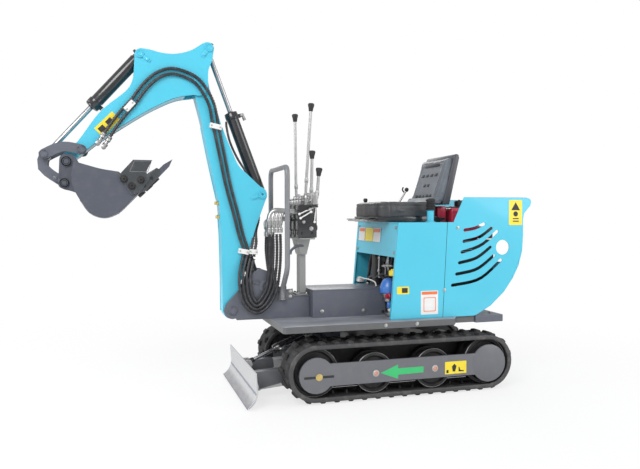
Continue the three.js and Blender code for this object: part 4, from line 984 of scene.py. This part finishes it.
build("tankSeam", redPaint, (bead, [(x, y, 486) for x, y in tankOutline], 3.2), smooth=70)
build("engineShroud", redPaint, (block, -356, -296, -150, 118, 472, 584, 12, 3))
capProfile = [(0, 40), (22, 40), (26, 37), (27, 34), (27, 12), (24, 9), (20, 9), (20, -4), (0, -4)]
build("tankCap", blackPlastic, (turned, capProfile, (-462, 60, 575), upward, 16),
      (turned, [(0, 46), (5, 46), (6, 43), (6, 38), (0, 38)], (-462, 60, 575), upward, 16))
strap = [(-544, 402), (-544, 574), (-536, 579), (-372, 579), (-362, 574), (-362, 402)]
build("tankStraps", blackPlastic, [(wire, [(x, y, z) for x, z in strap], 3.2, 1) for y in (-96, 116)],
      smooth=60)
build("hydraulicTankBody", bluePaint, (block, -255, -70, 80, 289, 10, 484, 8, 3),
      (turned, [(0, 478), (18.4, 478), (18.4, 556), (21, 558), (21, 562), (0, 562)],
       (-195, 238, 0), upward, 36),
      (turned, [(19, 497), (26, 497), (26, 500), (22, 502), (19, 502), (19, 497)],
       (-195, 238, 0), upward, 36),
      replaces=["hydraulic_tank"])
ridges = [spot for z in range(563, 608, 9) for spot in ((26, z), (26, z + 3), (20.5, z + 5.5), (20.5, z + 7))]
build("breatherCap", blackPlastic,
      (turned, [(0, 559), (24, 559), *ridges, (24, 608), (25, 612), (25, 616), (20, 621), (8, 623), (0, 623)],
       (-195, 238, 0), upward, 40), smooth=30)
print("interior made")

# ---- seat ----
seatShape = {"front": 100, "rear": -262, "half": 205, "rim": 42}
backPlane = {"foot": (-250, 601), "top": (-343, 856), "half": 168, "rim": 34}
puff = {"pressure": 4, "frames": 20, "most": 9}
backFoot, backTop = (Vector((x, 0, z)) for x, z in (backPlane["foot"], backPlane["top"]))
backUp = (backTop - backFoot).normalized()
backOut = Vector((backUp.z, 0, -backUp.x))


def toDeck(spot):
    return Vector((spot.x * 1000 - deck[0], spot.y * 1000, spot.z * 1000 - deck[1]))


def pad(node, name, finish, shrink):
    bm = fromSolid(node)
    middle = sum((vert.co for vert in bm.verts), Vector()) / len(bm.verts)
    sizes = [max(vert.co[k] for vert in bm.verts) - min(vert.co[k] for vert in bm.verts) for k in range(3)]
    for vert in bm.verts:
        for k in range(3):
            vert.co[k] = middle[k] + (vert.co[k] - middle[k]) * (1 - 2 * shrink[k] / 1000 / sizes[k])
        if node == "seat_cushion":
            vert.co.x = max(vert.co.x, (deck[0] + seatShape["rear"]) / 1000)
    piece = finishPiece(name, toMesh(name, bm), None, finish, 180, [node])
    bpy.context.view_layer.objects.active = piece
    piece.select_set(True)
    remesh = piece.modifiers.new("remesh", "REMESH")
    remesh.mode, remesh.voxel_size = "VOXEL", 0.0055
    bpy.ops.object.modifier_apply(modifier="remesh")
    start = [vert.co.copy() for vert in piece.data.vertices]
    cloth = piece.modifiers.new("cloth", "CLOTH")
    cloth.settings.use_pressure, cloth.settings.uniform_pressure_force = True, puff["pressure"]
    cloth.settings.effector_weights.gravity = 0
    cloth.settings.quality = 5
    cloth.point_cache.frame_start, cloth.point_cache.frame_end = 1, puff["frames"]
    for number in range(1, puff["frames"] + 1):
        bpy.context.scene.frame_set(number)
    bpy.ops.object.modifier_apply(modifier="cloth")
    bpy.context.scene.frame_set(1)
    most = puff["most"] / 1000
    for vert, home in zip(piece.data.vertices, start):
        shift = vert.co - home
        if shift.length > most:
            vert.co = home + shift * (most / shift.length)
    piece.select_set(False)
    return piece


def press(piece, depthAt):  # seams and hollows, pressed in along the surface
    bm = bmesh.new()
    bm.from_mesh(piece.data)
    bmesh.ops.smooth_vert(bm, verts=bm.verts, factor=0.5, use_axis_x=True, use_axis_y=True, use_axis_z=True)
    bm.normal_update()
    for vert in bm.verts:
        vert.co -= vert.normal * (depthAt(toDeck(vert.co), vert.normal) / 1000)
    bm.to_mesh(piece.data)
    bm.free()
    rounding = piece.modifiers.new("round", "SUBSURF")
    rounding.levels = rounding.render_levels = 1
    piece.data.shade_smooth()


def groove(distance, width, depth):
    return depth * math.exp(-(distance / width) ** 2)


def cushionDepth(spot, normal):
    s = seatShape
    inward = min(s["front"] - spot.x, s["half"] - abs(spot.y), spot.x - s["rear"])
    if abs(normal.z) <= 0.4:
        return groove(spot.z - 584, 3.5, 3.5) + groove(spot.x - 14, 4, 3)
    if normal.z < 0:
        return 0
    hollow = 8 * min(1, max(0, inward - s["rim"]) / 60)
    return groove(inward - s["rim"], 5, 5) + hollow + groove(spot.x - 14, 5, 4)


def backDepth(spot, normal):
    along = (spot - backFoot).dot(backUp)
    facing = normal.dot(backOut)
    inward = min((backTop - backFoot).length - along, backPlane["half"] - abs(spot.y), along + 60)
    if facing > 0.4:
        return groove(inward - backPlane["rim"], 4.5, 5) + 7 * min(1, max(0, inward - backPlane["rim"]) / 14)
    return groove(inward - 30, 5, 3) if facing < -0.4 else groove(facing * 30, 4, 2)


base = pad("seat_cushion", "seatCushion", vinyl, (6, 6, 1))
press(base, cushionDepth)
back = pad("seat_back", "seatBackPad", backVinyl, (5, 6, 4))
press(back, backDepth)
for piece in (base, back):
    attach(piece, "house")
padShape = bmesh.new()
padShape.from_mesh(back.data)
padSurface = BVHTree.FromBMesh(padShape)
padShape.free()


def perforation(along, y, half):  # a small dark panel laid on the back pad
    spot = Vector((backFoot.x, y, backFoot.z)) + backUp * along + backOut * 60
    ray = Vector(((spot.x + deck[0]) / 1000, y / 1000, (spot.z + deck[1]) / 1000))
    hit = toDeck(padSurface.ray_cast(ray, -backOut, 0.2)[0])
    return block, hit.x - half, hit.x + half, y - 9, y + 9, hit.z - 2.5, hit.z + 1.2, 2.4, 2, turnTo(backOut)


rows = ((227, 88, (0,)), (168, 18, (-80, -27, 27, 80)), (108, 14, (-22, 22)), (45, 12, (-88, -44, 0, 44, 88)))
build("backPerforations", dullBlack, [perforation(along, y, half) for along, half, spots in rows
                                      for y in spots])
print("seat made")

# ---- lever stand, valve block, levers and handrail ----
valveShape = {"x0": 398, "x1": 498, "half": 130, "low": 418, "high": 588, "sections": 6}
spools = (-98, -46, 6, 58, 104)
leverShapes = {  # y, foot (x, z), top (x, z)
    "boom_lever": (-165, (430, 664), (436, 1098)), "arm_lever": (5, (421, 690), (391, 1132)),
    "track_lever_left": (72, (412, 636), (406, 874)), "track_lever_right": (162, (409, 618), (395, 778)),
}
fromNode("lever_stand", standPaint, 2.5)
build("standLoop", slatePaint,
      (tube, [(434, 30, 356), (452, 46, 374), (486, 50, 372), (512, 44, 352), (518, 40, 330)], 7, 6, 0, 2),
      (bead, [(430, -30, 122), (430, 30, 122), (466, 30, 122), (466, -30, 122), (430, -30, 122)], 3),
      smooth=60)
boltRow("standBolts", [((x, y, 120.5), upward) for x in (430, 472) for y in (-43, 43)], 6.5, 5)


def valveSection(k):
    v = valveShape
    pitch = 2 * v["half"] / v["sections"]
    y0 = -v["half"] + k * pitch
    inset = 0 if k % 2 else 4
    return [(block, v["x0"] + inset, v["x1"] - inset, y0 + 0.6, y0 + pitch - 0.6, v["low"] + 0.5,
             v["high"] - inset, 4, 2),
            (peg, (v["x0"] + 6, y0 + pitch / 2, 470), (-1, 0, 0), 15, 24, 24, 3),
            (peg, (v["x1"] - 4, y0 + pitch / 2, 446), ahead, 13, 14, 24, 2)]


build("valveSections", blackPaint, [valveSection(k) for k in range(valveShape["sections"])],
      (block, 404, 438, -176, -128, 574, 590, 3, 2), (block, 404, 438, 128, 174, 574, 590, 3, 2),
      [(peg, (x, 0, z), across, 7, 274, 6, 1) for x, z in ((420, 440), (476, 440), (448, 566))],
      replaces=["valve_block"])
spoolCap = [(0, 586), (17, 586), (18, 589), (18, 598), (14, 601), (14, 618), (17, 620), (17, 634), (14, 638),
            (0, 638)]
build("valveFittings", silver,
      [[(turned, spoolCap, (448, y, 0), upward, 28), (peg, (448, y, 612), ahead, 8, 52, 6, 1),
    (peg, (482, y, 600), upward, 9, 26, 6, 1), (peg, (482, y, 617), upward, 7, 14, 20, 1)] for y in spools],
    [(peg, (x, 132, z), across, radius, 8, 6, 1) for x, z, radius in ((430, 466, 12), (436, 566, 10),
                                                                      (470, 500, 9))])
links = (((494, 134, 541), (409, 134, 578)), ((488, 137, 520), (432, 137, 552)),
         ((412, 134, 500), (404, 134, 590)))
build("valveLinks", whitePlastic, [[(wire, [start, end], 3.4, 2), (peg, start, across, 6.5, 9, 20, 1),
                                    (peg, end, across, 6.5, 9, 20, 1)] for start, end in links],
    smooth=60)
for name, (y, (footX, footZ), (topX, topZ)) in leverShapes.items():
    foot, top = Vector((footX, y, footZ)), Vector((topX, y, topZ))
    axis = (top - foot).normalized()
    reach = (top - foot).length
    grip = reach - 42
    build(name + "Rod", silver,
          (tube, [(420, y, 612), (420, y, 630), foot, foot + axis * (grip + 4)], 7.5, 10),
          (block, 407, 431, y - 13, y - 6, 589, 652, 2, 2), (block, 407, 431, y + 6, y + 13, 589, 652, 2, 2),
          (block, 404, 434, y - 14, y + 14, 589, 597, 2, 2), (peg, (419, y, 634), across, 6.5, 34, 6, 1),
          (turned, [(0, 18), (9, 18), (10, 21), (10, 40), (9, 43), (0, 43)], foot, axis, 20),
          smooth=60, replaces=[name])
    knob = [(0, grip - 2), (9, grip - 2), (11, grip), (13, grip + 42 * 0.35), (17, grip + 42 * 0.72),
            (16.5, grip + 42 * 0.9), (12, grip + 42 * 0.98), (0, reach)]
    build(name + "Knob", blackPlastic, (turned, knob, foot, axis, 28), smooth=45)
throttle = [(-168, -245, 500), (-180, -245, 530), (-202, -245, 565), (-274, -245, 682)]
build("throttleRod", silver, (tube, throttle, 5.8, 9), (peg, (-168, -245, 502), upward, 13, 7, 24, 1.5),
      smooth=60, replaces=["throttle_lever"])
build("throttleKnob", blackPlastic,
      (turned, [(0, -8), (8, -7), (12, 0), (12, 8), (8, 15), (0, 16)], (-276, -245, 684), (-0.52, 0, 0.85),
       24),
      (tube, [(-262, -245, 672), (-251, -245, 686), (-256, -245, 702)], 4.5, 6, 0, 2), smooth=50)
build("bladeLeverKnob", blackPlastic,
      (tube, [(2, -222, 498), (2, -222, 560), (-4, -222, 612)], 4.5, 14, 0, 2),
      (turned, [(0, -10), (9, -9), (12, -3), (13, 6), (9, 13), (0, 14)], (-5, -222, 620), upward, 24),
      smooth=50)
railSpots = [(80.5, 96), (83.5, 150), (130, 205), (177, 262), (185, 330), (185, 440), (185, 555), (185, 660),
             (185, 742), (174, 769), (147, 780), (60, 780)]
railLine = [(570, y, z) for y, z in railSpots] + [(570, -y, z) for y, z in reversed(railSpots)]
build("handrailTube", railPaint, (tube, railLine, 13.5, 12, 0, 5), smooth=60, replaces=["handrail"])
footWeld = [(13, -3), (16.5, -2), (17.5, 0), (16.5, 2), (13, 3), (13, -3)]
build("handrailFeet", railPaint, [[(turned, footWeld, (570, side * 80.6, 100), upward, 24),
    (block, 556, 584, *span(side, 66, 81), 96, 104, 2, 1)] for side in both])
print("controls made")

# ---- seat shell, rails and trim ----
fromNode("seat_rails", blackPaint)
scoop = [(-200, 597), (-222, 603), (-240, 613), (-252, 632), (-300, 632), (-300, 597)]
build("seatScoop", backVinyl, (plate, scoop, -156, 156, 7, 3), smooth=60)
shell = [(-304, 592), (-343, 592), (-354, 640), (-402, 846), (-400, 862), (-390, 868), (-376, 866),
         (-370, 852)]
build("seatBackShell", seatShellPlastic, (plate, shell, -172, 172, 6, 3), smooth=50)
build("seatPan", blackPaint, (block, 30, 132, -165, 165, 510, 516, 2, 2),
      (block, -262, 80, -180, 180, 498, 528, 4, 2))
slideBar = [(90, -140), (118, -138), (136, -120), (136, 0), (136, 120), (118, 138), (90, 140)]
build("seatSlideBar", silver, (tube, [(x, y, 506) for x, y in slideBar], 4, 14, 0, 2), smooth=60)
print("seat trim made")

# ---- boom, arm and bucket details ----
build("boomFrontFittings", goldZinc,
      [[(peg, (x + 2, 26, z), ahead, 11, 14, 6, 1), (peg, (x + 14, 26, z), ahead, 8, 14, 20, 1)]
       for z, x in ((547, 64), (477, 58))], **onBoom)
build("hornGreasePorts", dullBlack, [[(peg, (311, side * 46, 130), (0.6, 0, 0.8), 7, 14, 6, 1),
    (peg, (-62, side * 46, 188), (-0.5, 0, 0.8), 7, 12, 6, 1)] for side in both], **onArm)


def sideSeam(side, y, spots, radius, smooth=False):  # a weld along one side's face
    return bead, [(x, side * y, z) for x, z in spots], radius, smooth


build("boomSeams", bluePaint, [[sideSeam(side, 44, [(47, -10), (48, 157), (53, 385), (60, 490)], 2.6),
    sideSeam(side, 44, [(66, 562), (110, 763), (144, 936)], 2.6, True)] for side in both], smooth=70,
    **onBoom)
# painted shade: a dark blue weld bead along the arm's lower edge stands for that edge's shadow
armShadeSeam = [(29, -69), (107, -84), (179, -115), (289, -178), (476, -306), (560, -376)]
build("armShadeSeams", armEdgeShadePaint, [sideSeam(side, 58.5, armShadeSeam, 1.8, True) for side in both],
      smooth=70, **onArm)
armMarks = ([(486, -254), (468, -272), (446, -250), (464, -232)],
            [(452, -220), (434, -238), (412, -212), (430, -196)])
for label, side in sides.items():
    build(f"armTag_{label}", yellowSheet,
          (sheet, [(502, -252), (461, -294), (383, -205), (419, -168)], 60, side), **onArm)
    build(f"armTagMarks_{label}", dullBlack,
          [(plate, mark, *span(side, 60.5, 61)) for mark in armMarks], **onArm)

teeth = {"first": -160, "pitch": (360 - 40) / 3, "root": -462, "share": 0.32}
adaptor = [(-324, -152), (-306, -126), (-368, -56), (-408, -30), (-424, -40), (-412, -78), (-354, -144)]
cutter = [(-240, -68), (-301, 1), (-383, 1), (-356, -51), (-371, -84), (-331, -142), (-292, -156)]
cutterHighlightLine = [(-284, -52), (-306, -2), (-383, -2), (-366, -52), (-284, -52)]
bucketCurve = [(-262, -221), (-226, -250), (-168, -268), (-107, -245), (-64, -185)]
cutterBolts = (-259, -87), (-335, -90), (-294, -119)
bm = fromSolid("bucket")
for vert in bm.verts:  # the teeth narrow towards their tips
    if vert.co.x * 1000 - bucketPin[0] < teeth["root"]:
        number = round((vert.co.y * 1000 - teeth["first"]) / teeth["pitch"])
        middle = teeth["first"] + number * teeth["pitch"]
        vert.co.y = (middle + (vert.co.y * 1000 - middle) * teeth["share"]) / 1000
flatten(bm)
finishPiece("bucketShell", toMesh("bucketShell", bm), "bucket", bucketPaint, 38, ["bucket"], (1.6, 2))
toothYs = [teeth["first"] + k * teeth["pitch"] for k in range(4)]
build("toothAdaptors", cutterPaint, [(plate, adaptor, y - 24, y + 24, 4, 2) for y in toothYs], **onBucket)


def toothBolts(y):
    return [(peg, (x, y, z), (-0.7, 0, -0.7), 12, 16, 6, 1.5)
            for x, z in ((-344, -150), (-378, -118), (-408, -86))] + [
        (roundBolt, (x, y + side * 24, z), (0, side, 0), 8, 6)
        for x, z in ((-350, -116), (-384, -80)) for side in both]


washer = [(14, -1), (19, -1), (19, 1.6), (14, 1.6), (14, -1)]
build("bucketBolts", dullBlack, [toothBolts(y) for y in toothYs],
      [[[(roundBolt, *facing(side, x, 191, z), 15, 11),
        (turned, washer, *facing(side, x, 191, z), 28)] for x, z in cutterBolts] for side in both],
        **onBucket)
# painted highlight: the pale wire round the cutter's upper panel stands for light caught on its bevel; the
# beads along the bucket's sides use the same paler paint
build("cutterHighlightsAndSeams", railPaint, [[(wire, [(x, side * 191.2, z) for x, z in cutterHighlightLine], 1.8, 1),
    sideSeam(side, 181.5, [(-331, -146), (-262, -221)], 2.4),
    sideSeam(side, 181.5, bucketCurve, 2.4, True)] for side in both], smooth=60, **onBucket)
build("cutterPlates", cutterPaint, [(plate, cutter, *span(side, 189.5, 191.2)) for side in both], **onBucket)

bladeArm = [(572, 92), (592, 70), (758, 37.5), (765, 131), (640, 139), (578, 138)]
build("bladeArms", barPaint, [(plate, bladeArm, *span(side, 108.5, 161.5), 4, 2) for side in both], **onBlade)
build("bladeEdge", wornEdge, (plate, [(768, 80), (764, 80), (767, 60), (777, 34), (796, 15), (812, 7),
                                      (813, 11),
                                      (800, 18), (782, 36), (771, 60)], -364, 364), smooth=50, **onBlade)
bladeRib = [(757, 40), (762, 40), (767, 165), (764, 170), (740, 90)]
build("bladeRibs", blade, [(plate, bladeRib, y - 4, y + 4, 1.5, 1) for y in (-290, -210, 210, 290)],
      (bead, [(761, -360, 92), (761, -165, 92)], 3), (bead, [(761, 165, 92), (761, 360, 92)], 3),
      (wire, [(769, -364, 174), (769, 364, 174)], 4.5), **onBlade)
boltRow("bladeBolts", [((768.5, y, 62), (1, 0, 0.05)) for y in range(-300, 301, 120)], 8, 3, zinc, roundBolt,
        "blade")
print("linkage made")

# ---- hoses ----
hoseShape = {"radius": 9, "spacing": 6.8, "ribs": 0.3, "apart": 13.5}
boomLine = [(-64, 272), (-72, 300), (-45, 384), (-20, 487), (20, 639), (50, 789), (79, 930), (83, 950)]
elbowLine = [(83, 950), (101, 1036), (135, 1103), (179, 1155), (232, 1181), (295, 1192), (352, 1174),
             (400, 1137),
             (440, 1090), (469, 1047)]
armLine = [(311, -106), (331, -131), (373, -181), (415, -240), (446, -290)]
loopLine = [(-221, 388), (-224, 306), (-220, 203), (-204, 101), (-167, 30), (-120, 1), (-73, 29), (-48, 91),
            (-43, 167), (-52, 225), (-64, 272)]
loopDepth = [91] * 7 + [91, 80, 69, 58]
pairs = ((-22, -9.5), (-3, 9.5), (16, 28.5), (35, 47.5))
lower, upper = -hoseShape["apart"], hoseShape["apart"]


def beside(line, depthAt, first, last):  # a line moved sideways, at a depth for each of its points
    run = []
    for k, (x, z) in enumerate(line):
        a, b = line[max(k - 1, 0)], line[min(k + 1, len(line) - 1)]
        along = Vector((b[0] - a[0], b[1] - a[1])).normalized()
        offset = first + (last - first) * k / (len(line) - 1)
        run.append((x - offset * along.y, depthAt(k), z + offset * along.x))
    return run


def hoseRun(run):
    return tube, run, hoseShape["radius"], hoseShape["spacing"], hoseShape["ribs"], 2


def ferrule(spot, direction, length=40, radius=12.5):
    axis = Vector(direction).normalized()
    start = Vector(spot)
    profile = [(0, 0), (radius - 1.5, 0), (radius, 1.5), (radius, length * 0.24),
               (radius - 1.2, length * 0.28),
               (radius, length * 0.32), (radius, length * 0.6), (radius - 1.5, length * 0.64),
               (radius - 4, length * 0.68), (radius - 4, length), (0, length)]
    return [(turned, profile, start, axis, 24), (peg, start + axis * (length + 6), axis, radius, 13, 6, 1.2)]


def boomTail(offset, y=58):  # a hose that leaves the loop for the boom's rear edge
    x, past = -64 - offset, offset - 28.5
    return [(x, y, 272), (x - 4, y, 300), (x - 14, 48, 345), (x - 24 + past * 0.4, 30, 400),
            (-136 - past * 0.6, 18 - past, 460), (-150, 12 - past, 520)]


valveHoses = build("valveLoopHoses", hose, [hoseRun(beside(loopLine, lambda k: loopDepth[k], *pair))
                                            for pair in pairs],
                   blended=True, smooth=60, replaces=["valve_hoses"], **onBoom)
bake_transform(valveHoses)
build("boomFaceHoses", hose, hoseRun(beside(boomLine, lambda k: 58, -9.5, lower)),
      hoseRun(beside(boomLine, lambda k: 58, 9.5, upper)), hoseRun(boomTail(28.5)), hoseRun(boomTail(47.5)),
      smooth=60, replaces=["boom_hoses"], **onBoom)
elbowHoses = build("elbowHoseBend", hose, [
    hoseRun(beside(elbowLine, lambda k: 58 + 14 * min(1, k / 2), offset, offset))
    for offset in (lower, upper)],
    blended=True, smooth=60, replaces=["elbow_hoses"], **onBoom)
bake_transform(elbowHoses)
armRuns = [beside(armLine, lambda k: 72, offset, offset * 1.15) for offset in (lower, upper)]


def hoseEnd(run):
    last = Vector(run[-1])
    along = (last - Vector(run[-2])).normalized()
    spot = last + along * 50
    return [ferrule(last - along * 8, along), (peg, spot + Vector((0, -3, 0)), across, 11, 26, 24, 1.5),
            (peg, spot + Vector((0, 13, 0)), across, 9, 7, 6, 1)]


build("armFaceHoses", hose, [hoseRun(run) for run in armRuns], smooth=60, replaces=["arm_hoses"], **onArm)
build("armHoseEnds", silver, [hoseEnd(run) for run in armRuns], **onArm)


def valveElbow(x, y):
    line = [(x, 91, 494), (x, 90, 520), (x - 10, 86, 545), (x - 34, (91 + y) / 2, 560), (544, y, 556),
            (498, y, 548)]
    return [ferrule((x, 91, 446), upward), (tube, line, 13.5, 8, 0, 4),
            (peg, (514, y, 551), (1, 0, 0.1), 17, 14, 6, 1.5), (peg, (x, 91, 508), upward, 16, 12, 6, 1.5)]


build("valveElbows", silver, [valveElbow(606 + offset, 91 - 22 * (3 - k))
                              for k, (offset, _) in enumerate(pairs)], smooth=50)
houseRows = [(596 + 6 * k, 600 + 5 * k, 594 + 6 * k, y) for k, y in enumerate((-44, -66, -88, -110))]
build("houseHoses", hose, [hoseRun([(x, y, 424), (low, y, 340), (606, y * 0.9, 240), (596, y * 0.62, 165),
                                     (560, y * 0.42, 118)]) for x, low, bend, y in houseRows], smooth=60)
build("rightElbows", silver, [[ferrule((x, y, 420), upward),
    (tube, [(x, y, 470), (bend, y, 500), (560, y, 520), (498, y, 512)], 12.5)]
    for x, low, bend, y in houseRows], smooth=50)
clampTop = hoseShape["radius"] * 2 + 4
clampRows = {  # x, z, length, width, y, angle
    "boom": ((-58, 300, 54, 26, 46, -0.2), (-108, 298, 44, 26, 46, -0.1), (80, 932, 62, 26, 46, -0.2)),
    "arm": ((338, -140, 58, 28, 60, 0.85),),
}
for body, rows in clampRows.items():
    build(body + "Clamps", whitePlastic, [
        (block, x - length / 2, x + length / 2, y - 3, y + clampTop, z - width / 2, z + width / 2, 3, 2,
         Matrix.Rotation(angle, 4, "Y")) for x, z, length, width, y, angle in rows], body=body)
    build(body + "ClampBolts", zinc, [
        (hexBolt, tabSpot(x, y + clampTop, z, length, -angle, shift), across, 4.5, 2.5, False)
        for x, z, length, width, y, angle in rows for shift in (-0.36, 0.36)], body=body)
thin = [(24, 960), (22, 930), (6, 860), (-30, 780), (-80, 700), (-108, 640)]
build("cylinderHose", hose, (tube, [(x, 38, z) for x, z in thin], 6, 6, 0.05, 2), smooth=60, **onBoom)
bladeHoses = build(
    "bladeHoses", hose,
    (tube, [(414, 48, 287), (396, 50, 292), (366, 52, 288), (336, 48, 272), (310, 40, 256)], 7, 4, 0.08, 2),
    (tube, [(557, 48, 226), (536, 50, 236), (492, 64, 250), (430, 70, 264), (372, 66, 262), (326, 58, 246),
            (310, 56, 240)], 7, 4, 0.08, 2), blended=True, smooth=60, **onTrack)
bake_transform(bladeHoses)
print("hoses made")

# ---- finish ----
for node, thing in frame["nodes"].items():
    if not thing.hide_render:
        thing.data.materials.clear()
        thing.data.materials.append(dullBlack)
print("finished")
